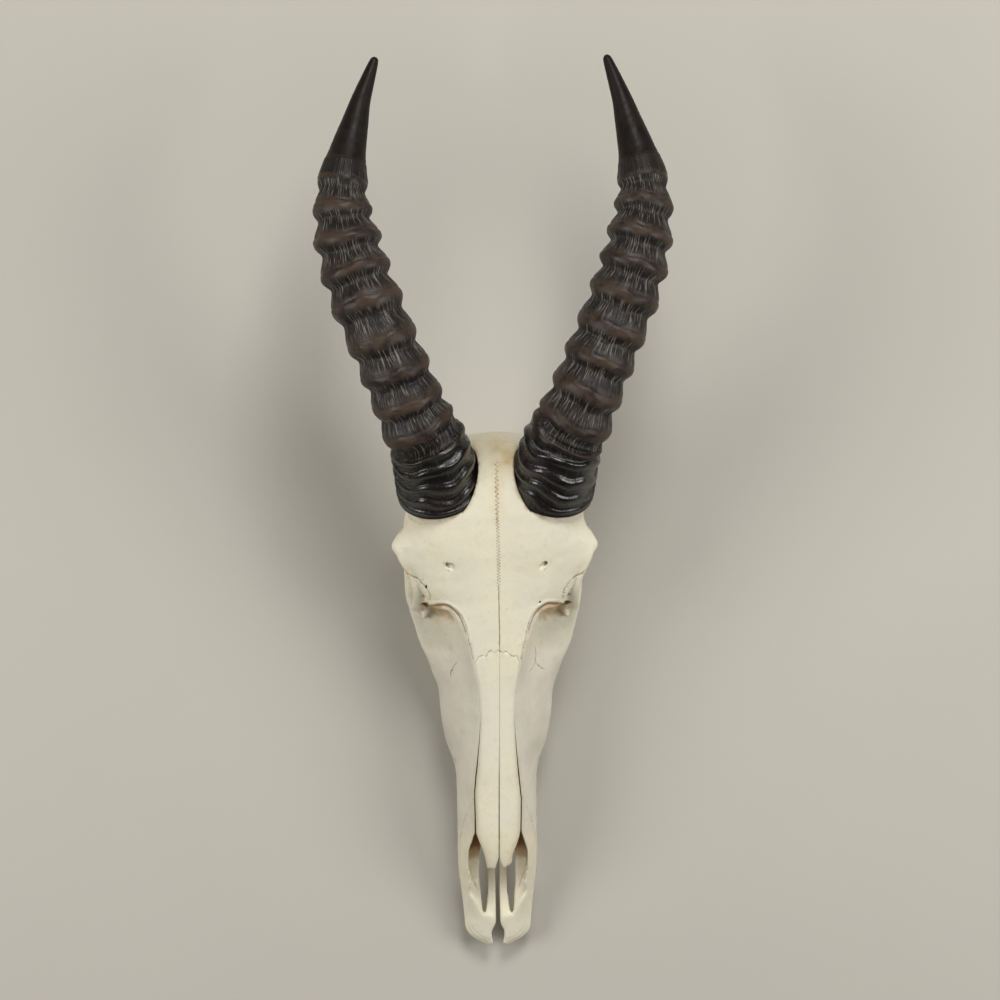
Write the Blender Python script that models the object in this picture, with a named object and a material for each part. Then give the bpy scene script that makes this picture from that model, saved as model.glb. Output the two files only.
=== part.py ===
# Topi skull with its horns and no lower jaw, lying on its cheek teeth and occipital condyles.
# +Y runs from the nose back to the horn tips, +Z is up and +X is the animal's own left.
# Every number is in millimetres until a mesh is made.

import math

import bpy
import bmesh
from mathutils import Euler, Matrix, Vector

MM = 0.001

# Fits and mesh sizes
SUTURE_GAP = 0.4           # air between neighbouring bones
TOOTH_GAP = 0.35           # air round a tooth in its socket
HORN_GAP = 0.4             # air between a horn and the bone under it
BONE_GRAIN = 2.0           # grain of the joined cranium before it is thinned
SMALL_BONE_GRAIN = 1.1     # grain of the premaxillae
CRANIUM_FACES = 4350       # triangles kept in the cranium before its seams are cut
PREMAXILLA_FACES = 1900    # triangles kept in the front of the face that both are cut from

BONE_COLOUR = (0.66, 0.62, 0.50, 1.0)
TOOTH_COLOUR = (0.60, 0.52, 0.38, 1.0)
HORN_COLOUR = (0.035, 0.026, 0.022, 1.0)

# Half sections of the face, front to back: (y, [(x, z), ...]) with the points for the roof's
# middle, nasal bone, roof edge, upper flank, flank, widest ridge, lower flank, alveolar
# margin, palate and the palate's middle.
FACE = [
    (-342.9, [(0, 18), (2, 18), (4, 17.5), (5.5, 17), (6.5, 16), (7, 14.5), (6.5, 13), (5, 12), (2.5, 11.5), (0, 11.5)]),
    (-337, [(0, 21), (5, 21), (10.5, 20.5), (14, 19), (16.2, 17), (16.9, 14.5), (16, 12), (12.5, 10.5), (6, 10), (0, 10)]),
    (-330, [(0, 23.5), (7, 23.5), (13, 22.5), (17, 20.5), (19.9, 18), (20.8, 15), (19.5, 12.3), (15, 10.8), (8, 10.5), (0, 10.5)]),
    (-318, [(0, 29), (8.5, 28.5), (16, 27), (21, 24), (24.7, 20.5), (25.9, 16.5), (24.5, 13.5), (19, 12), (10, 12), (0, 12)]),
    (-305, [(0, 38), (9, 37), (17, 34), (22.8, 29.5), (26.6, 24), (27.9, 19), (26.6, 15.5), (21, 13.5), (11, 13.5), (0, 13.5)]),
    (-292, [(0, 49), (9, 47.5), (17, 42), (23.5, 35.5), (27.9, 28.5), (29.4, 22.5), (28.2, 18), (23, 16), (12, 16), (0, 16)]),
    (-279, [(0, 59), (9, 57.5), (17, 51), (24, 42.5), (29, 33.5), (30.8, 25.5), (29.5, 20), (24, 17.5), (12, 17.5), (0, 18)]),
    (-262, [(0, 66), (9, 65), (16.8, 60.5), (23.8, 51), (29, 40), (31, 30), (30, 22.5), (25, 18.5), (12, 19), (0, 20)]),
    (-240, [(0, 71), (9.5, 70), (17.8, 66.5), (23.5, 58), (28.8, 45), (31, 33), (30.5, 24), (26.5, 19), (12, 21), (0, 22)]),
    (-216, [(0, 76), (9.5, 75), (18.2, 71.5), (23.5, 63), (28.5, 49), (31, 36.5), (30.8, 25.5), (27, 19), (12, 22), (0, 23.5)]),
    (-203.5, [(0, 79), (8.5, 78.5), (16, 75.5), (21.5, 67), (28.8, 51), (32.8, 37.5), (32.5, 25.5), (29.5, 18), (14, 22), (0, 24.5)]),
    (-191, [(0, 81.7), (8, 81.3), (15, 78.8), (20.5, 70.5), (29, 54), (37.1, 38.5), (37.5, 26), (34.5, 17), (16, 20), (0, 26)]),
    (-178, [(0, 84.7), (7.5, 84.3), (14.2, 82), (20, 74), (30, 58), (41, 41), (41.5, 28), (38, 17), (20, 19), (0, 27.5)]),
    (-160, [(0, 88.8), (7.5, 88.4), (13.6, 86.3), (20, 78.5), (31, 62), (42, 46), (43.3, 32), (39.5, 17), (21, 18), (0, 29)]),
    (-140, [(0, 93.5), (8.5, 93.2), (15, 91), (21.5, 81), (32, 65), (43, 51), (44.4, 37), (40.5, 17.5), (22, 18), (0, 30)]),
    (-127.5, [(0, 97), (10, 96.8), (17.5, 95), (23.5, 82.5), (33, 67), (45.5, 54.5), (49, 44), (42, 19), (23, 18.5), (0, 31)]),
    (-115, [(0, 100.3), (11.5, 100.2), (19.5, 98.4), (25, 84), (33.5, 68.5), (48, 58.5), (53.2, 51), (43, 22), (23.5, 19), (0, 31)]),
    (-102.5, [(0, 103.5), (13, 103.5), (22, 101.5), (27, 86), (34, 71), (50, 61.5), (58.2, 54), (44, 20.5), (24, 18.5), (0, 31)]),
    (-84, [(0, 108.5), (16, 108.5), (29, 106), (34, 93), (40, 79), (56, 68), (63.3, 60), (47, 25), (25, 20), (0, 33)]),
    (-71.5, [(0, 112), (18, 112), (35, 109), (47, 101), (55, 90), (62, 76), (63.5, 63), (50, 42), (26, 32), (0, 39)]),
    (-61, [(0, 115), (19, 115), (37, 111), (46, 101), (49, 91), (50, 78), (48, 64), (38, 50), (22, 42), (0, 43)]),
]

# Half sections of the roof over the orbits and of the braincase: the roof's middle, roof,
# outer roof, rim, under the rim, orbit's ceiling, inner wall, lower side, base, base's middle.
BRAINCASE = [
    (-77, [(0, 110), (16, 110), (33, 107), (48, 98), (47, 92), (37, 88), (26, 77), (21, 60), (14, 50), (0, 48)]),
    (-63, [(0, 114.5), (20, 115), (38, 112.5), (55, 105), (54, 99), (40, 94), (26, 82), (21, 64), (14, 51), (0, 47)]),
    (-50, [(0, 118), (22, 119.5), (42, 117), (60, 109), (59, 104), (42, 98), (26, 85), (21, 65), (14, 51), (0, 47)]),
    (-38, [(0, 122), (24, 124.5), (46, 121), (71, 109), (70, 104), (46, 101), (27, 87), (22, 67), (15, 50), (0, 45)]),
    (-27, [(0, 125.5), (26, 128.5), (49, 124.5), (77.5, 107), (76, 100), (50, 98), (30, 87), (24, 67), (17, 48), (0, 42)]),
    (-15, [(0, 129), (27, 132), (51, 127), (72.5, 108), (69, 100), (52, 96), (34, 84), (29, 65), (20, 45), (0, 38)]),
    (-4, [(0, 132), (28, 135), (51, 128), (68, 111), (62, 101), (50, 94), (38, 82), (34, 63), (23, 41), (0, 33)]),
    (8, [(0, 134.5), (26, 136), (45, 126), (55, 110), (51, 98), (46, 89), (40, 78), (37, 60), (26, 37), (0, 28)]),
    (21, [(0, 135.5), (19, 135), (33, 123), (41, 107), (43, 96), (42, 86), (40, 74), (38, 56), (27, 35), (0, 25)]),
    (34, [(0, 134), (15, 132), (25, 121), (33, 107), (38, 95), (40, 84), (39, 70), (35, 52), (25, 34), (0, 25)]),
    (46, [(0, 129), (13, 126), (21, 116), (29, 104), (35, 93), (37, 82), (35, 69), (30, 53), (20, 37), (0, 30)]),
    (52, [(0, 121), (12, 118.5), (19, 110), (26, 101), (32, 93), (34, 85), (32, 77), (26, 68), (15, 60), (0, 57)]),
    (56, [(0, 112), (8, 110), (14, 104), (20, 98), (25, 93), (27, 88), (25, 83), (19, 79), (10, 76), (0, 75)]),
    (58, [(0, 104), (5, 102.5), (9, 99), (13, 96), (16, 93), (17, 90), (16, 87), (12, 85), (6, 84), (0, 84)]),
]

# Nasal cavity inside the face, laid out as the face is. Its front breaks out upwards.
NASAL_CAVITY = [
    (-319, [(0, 60), (7, 60), (12, 55), (16, 40), (17.5, 27), (17.5, 22), (15, 18.8), (8, 18), (0, 18)]),
    (-305, [(0, 70), (8, 70), (15, 62), (19.5, 45), (20.5, 27), (22.5, 23), (20, 20), (10, 19), (0, 19)]),
    (-292, [(0, 76), (9, 76), (17, 66), (20.8, 50), (20.8, 33), (24.3, 27), (23, 22.5), (12, 21), (0, 21)]),
    (-279, [(0, 80), (9, 80), (17, 72), (21.5, 56), (21.6, 38), (25, 31), (25.5, 24.5), (13, 22.5), (0, 22.5)]),
    (-262, [(0, 82), (9, 82), (16, 76), (19.5, 60), (20.5, 46), (24.6, 35.5), (26, 27), (13, 24.5), (0, 24.5)]),
    (-246, [(0, 66), (9, 65), (13.8, 60), (18, 52), (22.5, 42.5), (26, 35), (26, 28), (13, 26), (0, 26)]),
    (-216, [(0, 72.5), (9, 71.5), (15.2, 67.5), (19, 59), (23.5, 46), (26, 37), (25, 30), (13, 28), (0, 28)]),
    (-191, [(0, 78), (7.5, 77.5), (13, 74), (17, 65), (22, 50), (25, 39), (23, 32.5), (12, 30.5), (0, 30.5)]),
    (-160, [(0, 85), (7, 84.5), (12, 80.5), (16, 70), (20, 56), (22, 44), (20, 37), (12, 34.5), (0, 34)]),
    (-127, [(0, 92), (8, 91.5), (13, 87), (17, 74), (20, 60), (21, 48), (19, 41), (12, 38), (0, 37)]),
    (-101, [(0, 92), (6, 91), (10, 86), (13, 75), (15, 62), (15, 51), (14, 45), (9, 43), (0, 42)]),
]

# Plan of one nasal bone: (y, inner edge, outer edge), tip first.
NASAL_PLAN = [(-277.5, 5.2, 9.0), (-276, 4.0, 10.0), (-271, 0.2, 10.8), (-266, 0.2, 11.8), (-258, 0.2, 14.6),
              (-251, 0.2, 17.4), (-220, 0.2, 17.6), (-199, 0.2, 15.8), (-179, 0.2, 13.9),
              (-164, 0.2, 13.3), (-148, 0.2, 14.2), (-134, 0.2, 15.3), (-117, 0.2, 17.6), (-111, 0.2, 15.0),
              (-108, 0.2, 8.0)]
NASAL_THICK = 3.2
NASAL_BED = 11.0           # how far the cut for the nasals goes under the roof

# Suture between maxilla and premaxilla, seen from the side: (y, z).
PREMAXILLA_SUTURE = [(-219, 95), (-225.5, 68), (-244, 50), (-280, 26), (-301, 13), (-304, 0)]
PALATINE_BAR = (7.4, -264.0, 24.0)     # half width, back end and top of the two bars between the fissures

# Openings between the premaxillae in plan, (y, x), on one side.
PALATINE_FISSURE = [(-318.5, 11.4), (-310, 8.8), (-298, 7.6), (-282, 7.4), (-268, 8.2), (-259, 11.0),
                    (-268, 13.8), (-282, 14.4), (-298, 14.0), (-310, 13.0)]
INCISIVE_SLIT = [(-362, 3.2), (-346, 3.2), (-341, 4.0), (-335.5, 5.0), (-330, 4.2), (-325, 1.9), (-312, 1.6),
                 (-270, 1.6), (-258, 1.2)]
APERTURE = [(-317, 4.0), (-314, 11.5), (-307, 16.5), (-297, 20.0), (-282, 22.2), (-267, 22.4), (-258, 20.0),
            (-251, 17.8), (-246, 14.0)]

# Rim of the left orbit as a loop of (x, y, z) with the thickness of the bone there.
ORBIT_RIM = [((73.5, -25, 104), 4.8), ((70.8, -37, 106), 4.3), ((61.0, -49, 105), 4.0), ((55.0, -61, 99), 4.5),
             ((54.5, -71, 88), 5.0), ((58.0, -75, 74), 5.0), ((62.2, -67, 63), 4.8), ((63.6, -51, 58), 4.5),
             ((65.5, -33, 60), 4.4), ((68.0, -20, 70), 4.3), ((71.5, -15, 88), 4.6)]

# Left zygomatic arch from the cheek back to the braincase: (x, y, z), half thickness, half height.
ARCH = [((54, -88, 57), 5, 9), ((61.5, -70, 58), 5, 8), ((63.8, -50, 55), 3.8, 6.5), ((65.8, -33, 54), 3.5, 6),
        ((67, -15, 55), 3.4, 6), ((65, 0, 57), 3.4, 5.5), ((58.5, 13, 59), 4, 5.5), ((48, 21, 60), 5, 7),
        ((37, 25, 60), 5, 8)]

# Centre line of the left horn from its base plane to the tip, (x, y, z).
HORN_LINE = [(42.5, 15, 113), (47.5, 38, 134.5), (52, 53, 143), (59.3, 66.7, 149.5), (67.8, 86.7, 155),
             (76.7, 108.8, 159), (86.1, 131.6, 162), (96.3, 157.4, 163), (104.2, 180.8, 161), (109.7, 203.5, 157.5),
             (113.1, 226.9, 153), (112.6, 248.8, 148), (108.8, 269.6, 144), (102.9, 292.5, 140.5),
             (98.9, 307.8, 138.5), (93.8, 323, 137), (88.5, 338, 136), (86.9, 342.5, 136)]

# Rings of each horn, base first: place on HORN_LINE, crest radius, radius of the groove under it.
HORN_RINGS = {
    "left": [(0.22, 32.7, 32.2), (0.60, 32.5, 31.6), (1.00, 31.9, 30.8), (1.55, 30.6, 29.6), (2.20, 29.6, 28.2),
             (3.08, 29.3, 26.4), (4.15, 27.8, 24.6), (5.18, 27.4, 23.8), (6.13, 26.6, 23.2), (7.06, 26.7, 22.8),
             (8.05, 26.2, 21.9), (9.03, 25.4, 21.2), (10.05, 22.7, 19.3), (11.00, 18.5, 16.9)],
    "right": [(0.18, 32.6, 32.1), (0.52, 32.4, 31.4), (0.92, 31.6, 30.4), (1.38, 30.4, 29.2), (1.85, 29.4, 28.2),
              (2.92, 28.4, 26.2), (3.85, 27.0, 24.4), (4.82, 26.9, 23.6), (5.87, 26.4, 23.2), (6.94, 27.4, 23.2),
              (7.95, 26.7, 22.1), (8.97, 26.1, 21.6), (9.95, 22.9, 19.6), (11.00, 18.4, 17.0)],
}
HORN_TIP = [(11.4, 15.8), (12.0, 12.9), (13.0, 9.2), (14.0, 6.9), (15.0, 4.9), (16.0, 2.3), (17.0, 0.9)]
HORN_START = 31.6          # radius at the base plane
HORN_CROWDED = 2.5         # rings below this place lie close together
HORN_SIDES = 14

# Upper cheek teeth from front to back: name, length along the row, half width, lobes.
TEETH = [("premolar_2", 9.5, 4.8, 1), ("premolar_3", 12.0, 6.2, 1), ("premolar_4", 12.0, 7.2, 1),
         ("molar_1", 16.0, 8.2, 2), ("molar_2", 18.5, 8.8, 2), ("molar_3", 18.5, 8.3, 2)]
TOOTH_ROW_FRONT = (-174.0, 26.5)       # (y, x) of the left row's two ends
TOOTH_ROW_BACK = (-85.0, 31.5)
TOOTH_TOP = 21.0           # height of a tooth's hidden end
PREMOLAR_PLAN = [(-0.92, 0.85), (0.0, 1.0), (0.92, 0.88), (1.0, 0.1), (0.72, -0.72), (0.0, -1.0), (-0.72, -0.72),
                 (-1.0, 0.1)]
MOLAR_PLAN = [(-0.95, 1.0), (-0.5, 0.84), (0.0, 1.0), (0.5, 0.84), (0.95, 1.0), (1.0, 0.0), (0.84, -0.66),
              (0.5, -1.0), (0.18, -0.8), (0.0, -0.5), (-0.18, -0.8), (-0.5, -1.0), (-0.84, -0.66), (-1.0, 0.0)]

SIDES = {"left": 1, "right": -1}


def clear_scene():
    for old in list(bpy.data.objects):
        bpy.data.objects.remove(old, do_unlink=True)


def through(points, place):
    """Smooth curve through a list of vectors, read at a place from 0 to len(points) - 1."""
    last = len(points) - 1
    i = max(0, min(int(place), last - 1))
    t = place - i
    p1, p2 = Vector(points[i]), Vector(points[i + 1])
    p0 = Vector(points[i - 1]) if i > 0 else 2 * p1 - p2
    p3 = Vector(points[i + 2]) if i + 2 <= last else 2 * p2 - p1
    return 0.5 * (2 * p1 + (p2 - p0) * t + (2 * p0 - 5 * p1 + 4 * p2 - p3) * t * t
                  + (3 * p1 - p0 - 3 * p2 + p3) * t ** 3)


def loop_through(points, place):
    """The same curve round a closed loop."""
    n = len(points)
    i = int(place) % n
    window = [points[(i + k) % n] for k in (-1, 0, 1, 2)]
    return through(window, 1 + place - int(place))


def between(table, value):
    """Straight-line reading of a table of (key, number, ...) rows at a key."""
    rows = sorted(table)
    if value <= rows[0][0]:
        return rows[0][1:]
    for low, high in zip(rows, rows[1:]):
        if value <= high[0]:
            share = (value - low[0]) / (high[0] - low[0])
            return tuple(a + (b - a) * share for a, b in zip(low[1:], high[1:]))
    return rows[-1][1:]


def object_from(bm, name, helper=True):
    """Mesh object from a bmesh in millimetres. A helper is only a cutter or a guide."""
    bmesh.ops.scale(bm, vec=(MM, MM, MM), verts=bm.verts)
    bmesh.ops.recalc_face_normals(bm, faces=bm.faces)
    mesh = bpy.data.meshes.new(name)
    bm.to_mesh(mesh)
    bm.free()
    thing = bpy.data.objects.new(name, mesh)
    bpy.context.scene.collection.objects.link(thing)
    thing.hide_render = helper
    thing.display_type = "WIRE" if helper else "TEXTURED"
    return thing


def skin(bm, rings, closed=False):
    """Quads between neighbouring rings of points, with a cap on each end of an open row."""
    loops = [[bm.verts.new(p) for p in ring] for ring in rings]
    pairs = list(zip(loops, loops[1:])) + ([(loops[-1], loops[0])] if closed else [])
    for a, b in pairs:
        for i in range(len(a)):
            j = (i + 1) % len(a)
            bm.faces.new((a[i], a[j], b[j], b[i]))
    if not closed:
        bm.faces.new(list(reversed(loops[0])))
        bm.faces.new(loops[-1])


def half_section(stations, place):
    """Half section between stations, as (y, [(x, z), ...])."""
    y = through([(y, 0, 0) for y, _ in stations], place).x
    half = []
    for j in range(len(stations[0][1])):
        p = through([(points[j][0], points[j][1], 0) for _, points in stations], place)
        half.append((max(p.x, 0.0), p.y))
    return y, half


def loft(bm, stations, rows_between, steps):
    """Skin through half sections and their mirror images, with rows between the stations."""
    rings = []
    for row in range((len(stations) - 1) * rows_between + 1):
        y, half = half_section(stations, row / rows_between)
        side = [through([(x, y, z) for x, z in half], (len(half) - 1) * k / steps) for k in range(steps + 1)]
        other = [Vector((-p.x, p.y, p.z)) for p in side[-2:0:-1]]
        rings.append(side + other)
    skin(bm, rings)


def sweep(bm, line, sizes, sides, up=Vector((0, 0, 1)), closed=False):
    """Oval tube along a line of points. Each size is (half thickness, half height)."""
    rings = []
    count = len(line)
    for i, point in enumerate(line):
        ahead = line[(i + 1) % count] if closed else line[min(i + 1, count - 1)]
        behind = line[i - 1] if closed or i > 0 else line[0]
        run = (ahead - behind).normalized()
        across = run.cross(up).normalized()
        rise = across.cross(run).normalized()
        thick, tall = sizes[i]
        turns = [2 * math.pi * k / sides for k in range(sides)]
        rings.append([point + across * thick * math.cos(a) + rise * tall * math.sin(a) for a in turns])
    skin(bm, rings, closed)


def ellipsoid(bm, centre, radii, rings=10, sides=14, lean=(0, 0, 0)):
    """Ball stretched to three radii and leaned by angles in degrees about X, Y and Z."""
    turn = Euler([math.radians(a) for a in lean]).to_matrix().to_4x4()
    place = Matrix.Translation(centre) @ turn @ Matrix.Diagonal((*radii, 1.0))
    bmesh.ops.create_uvsphere(bm, u_segments=sides, v_segments=rings, radius=1.0, matrix=place)


def plan_block(bm, outline, low, high, side=1):
    """Upright block over a plan outline of (y, x) points."""
    skin(bm, [[Vector((side * x, y, z)) for y, x in outline] for z in (low, high)])


def mirrored(outline):
    """Plan outline of (y, x) points closed by its mirror image across the middle."""
    return outline + [(y, -x) for y, x in reversed(outline)]


def boolean(thing, cutter, operation="DIFFERENCE"):
    step = thing.modifiers.new(operation.title(), "BOOLEAN")
    step.operation = operation
    step.solver = "EXACT"
    step.object = cutter


def remesh(thing, grain):
    step = thing.modifiers.new("Join", "REMESH")
    step.mode = "VOXEL"
    step.voxel_size = grain * MM


def freeze(thing):
    """Replaces the object's mesh with what its modifiers make."""
    graph = bpy.context.evaluated_depsgraph_get()
    made = bpy.data.meshes.new_from_object(thing.evaluated_get(graph), depsgraph=graph)
    thing.modifiers.clear()
    thing.data = made


def thin_out(thing, faces, rounds):
    """Smooths the joined form and thins it to a number of triangles."""
    soften = thing.modifiers.new("Soften", "SMOOTH")
    soften.iterations = rounds
    soften.factor = 0.5
    freeze(thing)
    thin = thing.modifiers.new("Thin", "DECIMATE")
    thin.ratio = faces / (2 * len(thing.data.polygons))
    freeze(thing)


def keep_largest(thing):
    """Drops chips that a cut has left, and keeps the biggest connected body."""
    bm = bmesh.new()
    bm.from_mesh(thing.data)
    left = set(bm.verts)
    bodies = []
    while left:
        body = set()
        edge = [next(iter(left))]
        while edge:
            vert = edge.pop()
            if vert in body:
                continue
            body.add(vert)
            edge.extend(e.other_vert(vert) for e in vert.link_edges if e.other_vert(vert) not in body)
        left -= body
        bodies.append(body)
    bodies.sort(key=len)
    for body in bodies[:-1]:
        bmesh.ops.delete(bm, geom=list(body), context="VERTS")
    bmesh.ops.triangulate(bm, faces=bm.faces)
    bm.to_mesh(thing.data)
    bm.free()


def material(name, colour, roughness):
    made = bpy.data.materials.new(name)
    made.use_nodes = True
    shader = made.node_tree.nodes["Principled BSDF"]
    shader.inputs["Base Color"].default_value = colour
    shader.inputs["Roughness"].default_value = roughness
    made.diffuse_color = colour
    return made


def dress(thing, look):
    thing.data.materials.clear()
    thing.data.materials.append(look)


# Cranium

def add_orbit_and_arch(bm, side):
    spots = [(side * x, y, z) for (x, y, z), _ in ORBIT_RIM]
    radii = [(r, 0, 0) for _, r in ORBIT_RIM]
    places = [len(ORBIT_RIM) * k / 40 for k in range(40)]
    rim = [loop_through(spots, p) for p in places]
    thick = [loop_through(radii, p).x for p in places]
    sweep(bm, rim, [(r, r) for r in thick], 10, Vector((side, 0, 0)), closed=True)
    spots = [(side * x, y, z) for (x, y, z), _, _ in ARCH]
    sizes = [(wide, tall, 0) for _, wide, tall in ARCH]
    places = [(len(ARCH) - 1) * k / 30 for k in range(31)]
    sweep(bm, [through(spots, p) for p in places], [through(sizes, p).xy for p in places], 10)
    ellipsoid(bm, (side * 38, -70, 64), (16, 12, 20))


def add_pedicle(bm, side):
    """Bone stump under the horn, square to the horn's base plane."""
    spots = [Vector((side * x, y, z)) for x, y, z in HORN_LINE[:2]]
    run = (spots[1] - spots[0]).normalized()
    line = [spots[0] - run * 40, spots[0] - run * 16, spots[0] - run * 3, spots[0] + run * 3]
    sweep(bm, line, [(18, 20), (27, 27), (30.5, 30.5), (30.5, 30.5)], 24)


def add_base(bm, side):
    """Condyle, bulla, joint bump, paroccipital process and pterygoid plate of one side."""
    ellipsoid(bm, (side * 15.5, 38, 16.2), (9.5, 12, 16.5), lean=(0, side * 12, side * -25))
    ellipsoid(bm, (side * 26, 9, 31), (9, 14, 13), lean=(0, side * -10, 0))
    ellipsoid(bm, (side * 42, 21, 56), (9, 9, 9))
    sweep(bm, [Vector((side * 36, 27, 52)), Vector((side * 36, 29, 36)), Vector((side * 34, 31, 20)),
               Vector((side * 32, 33, 8))], [(7, 7), (5.5, 6), (4, 5), (2.8, 3.2)], 10, Vector((0, 1, 0)))
    sweep(bm, [Vector((side * 13.5, -82, 44)), Vector((side * 14, -64, 38)), Vector((side * 14.5, -48, 38)),
               Vector((side * 15, -32, 44))], [(2.4, 13), (2.3, 13), (2.3, 10), (2.4, 7)], 8)


def add_middle(bm):
    """Nuchal crest and the bar of bone along the base of the skull."""
    crest = [(-38, 25, 56), (-37, 36, 74), (-26, 49, 87), (0, 56, 94), (26, 49, 87), (37, 36, 74), (38, 25, 56)]
    places = [(len(crest) - 1) * k / 24 for k in range(25)]
    sweep(bm, [through(crest, p) for p in places], [(3.6, 4.2)] * 25, 8, Vector((0, 1, 0)))
    sweep(bm, [Vector((0, -56, 48)), Vector((0, -30, 41)), Vector((0, 0, 31)), Vector((0, 22, 23)),
               Vector((0, 34, 19))], [(9, 6), (10, 6), (11, 6.5), (13, 6.5), (14, 6)], 12)


def face_cutters():
    """Nasal cavity and the openings in plan, which cranium and premaxillae share."""
    bm = bmesh.new()
    loft(bm, NASAL_CAVITY, 2, 14)
    cavity = object_from(bm, "nasal_cavity")
    bm = bmesh.new()
    plan_block(bm, mirrored(APERTURE), 40, 90)
    opening = object_from(bm, "nasal_opening")
    bm = bmesh.new()
    for side in SIDES.values():
        plan_block(bm, PALATINE_FISSURE, -10, 32, side)
    fissures = object_from(bm, "palatine_fissures")
    bm = bmesh.new()
    plan_block(bm, mirrored(INCISIVE_SLIT), -10, 60)
    slit = object_from(bm, "incisive_slit")
    return [cavity, opening, fissures, slit]


def skull_cutters():
    """Choanae, brain cavity, foramen magnum and the pits in front of the orbits."""
    bm = bmesh.new()
    for side in SIDES.values():
        line = [Vector((side * 7.4, -112, 57)), Vector((side * 7.4, -94, 49)), Vector((side * 7.2, -78, 38)),
                Vector((side * 7.0, -60, 27)), Vector((side * 7.0, -44, 18))]
        sweep(bm, line, [(5.0, 12), (5.0, 12), (5.0, 13), (5.0, 13), (5.0, 12)], 12)
    choanae = object_from(bm, "choanae")
    bm = bmesh.new()
    ellipsoid(bm, (0, 18, 68), (29, 31, 24), 16, 24)
    brain = object_from(bm, "brain_cavity")
    bm = bmesh.new()
    sweep(bm, [Vector((0, 18, 60)), Vector((0, 32, 48)), Vector((0, 48, 36)), Vector((0, 66, 26))],
          [(12, 12), (13, 12), (13.5, 12), (15, 13)], 20)
    foramen = object_from(bm, "foramen_magnum")
    bm = bmesh.new()
    for side in SIDES.values():
        ellipsoid(bm, (side * 45, -83, 88), (15, 11, 14), 12, 18, lean=(0, side * 20, side * -20))
    pits = object_from(bm, "lacrimal_pits")
    return [choanae, brain, foramen, pits]


def make_cranium(shared, bed, look):
    face_parts = shared + skull_cutters()
    bm = bmesh.new()
    loft(bm, FACE, 3, 22)
    face = object_from(bm, "face")
    for cutter in face_parts:
        boolean(face, cutter)
    freeze(face)
    bm = bmesh.new()
    loft(bm, BRAINCASE, 3, 22)
    braincase = object_from(bm, "braincase")
    for cutter in face_parts[-4:]:
        boolean(braincase, cutter)
    freeze(braincase)
    bm = bmesh.new()
    for side in SIDES.values():
        add_orbit_and_arch(bm, side)
        add_pedicle(bm, side)
        add_base(bm, side)
    add_middle(bm)
    bmesh.ops.scale(bm, vec=(MM, MM, MM), verts=bm.verts)
    bmesh.ops.recalc_face_normals(bm, faces=bm.faces)
    for part in (face, braincase):
        bm.from_mesh(part.data)
    bmesh.ops.scale(bm, vec=(1 / MM, 1 / MM, 1 / MM), verts=bm.verts)
    cranium = object_from(bm, "cranium", helper=False)
    remesh(cranium, BONE_GRAIN)
    thin_out(cranium, CRANIUM_FACES, 5)
    for cutter in seam_cutters(bed):
        boolean(cranium, cutter)
    freeze(cranium)
    keep_largest(cranium)
    dress(cranium, look)


def nasal_bed():
    """Room for both nasal bones, cut down through the roof into the nasal cavity."""
    bm = bmesh.new()
    rings = []
    for y, _, outer in NASAL_PLAN:
        reach = outer + SUTURE_GAP
        y += SUTURE_GAP if y > -150 else 0
        middle = roof_height(y, 0)
        low, high = middle - NASAL_BED - 6, middle + 12
        rings.append([Vector((-reach, y, low)), Vector((reach, y, low)), Vector((reach, y, high)),
                      Vector((-reach, y, high))])
    rings = [[p + Vector((0, -30, 0)) for p in rings[5]]] + rings[5:]
    skin(bm, rings)
    return object_from(bm, "nasal_bed")


def seam_cutters(bed):
    """Crisp cuts that leave room for the premaxillae, nasals, teeth and horns."""
    front = premaxilla_region("premaxilla_room", SUTURE_GAP)
    bm = bmesh.new()
    for side in SIDES.values():
        plan_block(bm, tooth_trough(), -10, TOOTH_TOP + TOOTH_GAP, side)
    troughs = object_from(bm, "tooth_troughs")
    bm = bmesh.new()
    for side in SIDES.values():
        add_horn_room(bm, side)
    seats = object_from(bm, "horn_seats")
    return [front, bed, troughs, seats]


def add_horn_room(bm, side):
    """The space that a horn takes, with its gap, as a smooth tube from the base plane."""
    places = [0, 0.5, 1, 2, 3, 4, 5]
    line = [through([(side * x, y, z) for x, y, z in HORN_LINE], p) for p in places]
    run = (line[1] - line[0]).normalized()
    line[0] = line[0] - run * HORN_GAP
    sweep(bm, line, [(33.2, 33.2)] * 3 + [(31.5, 31.5), (30.6, 30.6), (29.5, 29.5), (28.5, 28.5)], 24)


def premaxilla_region(name, gap):
    """Everything in front of the premaxillary suture, with the two palatine bars."""
    bm = bmesh.new()
    outline = [(y + gap, z) for y, z in PREMAXILLA_SUTURE]
    outline = [(-400, 95)] + outline + [(-400, 0)]
    skin(bm, [[Vector((x, y, z)) for y, z in outline] for x in (-60, 60)])
    region = object_from(bm, name)
    bm = bmesh.new()
    half, back, top = (size + gap for size in PALATINE_BAR)
    plan_block(bm, [(-330, -half), (-330, half), (back, half), (back, -half)], -5, top)
    bars = object_from(bm, name + "_bars")
    boolean(region, bars, "UNION")
    freeze(region)
    return region


def roof_height(y, x):
    """Height of the face's roof over a place near the middle."""
    low, high = 0.0, len(FACE) - 1.0
    for _ in range(30):
        middle = 0.5 * (low + high)
        if half_section(FACE, middle)[0] < y:
            low = middle
        else:
            high = middle
    _, half = half_section(FACE, low)
    curve = [through([(a, b, 0) for a, b in half], 0.1 * k) for k in range(46)]
    return between([(p.x, p.y) for p in curve], x)[0]


# Nasal bones and premaxillae

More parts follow.
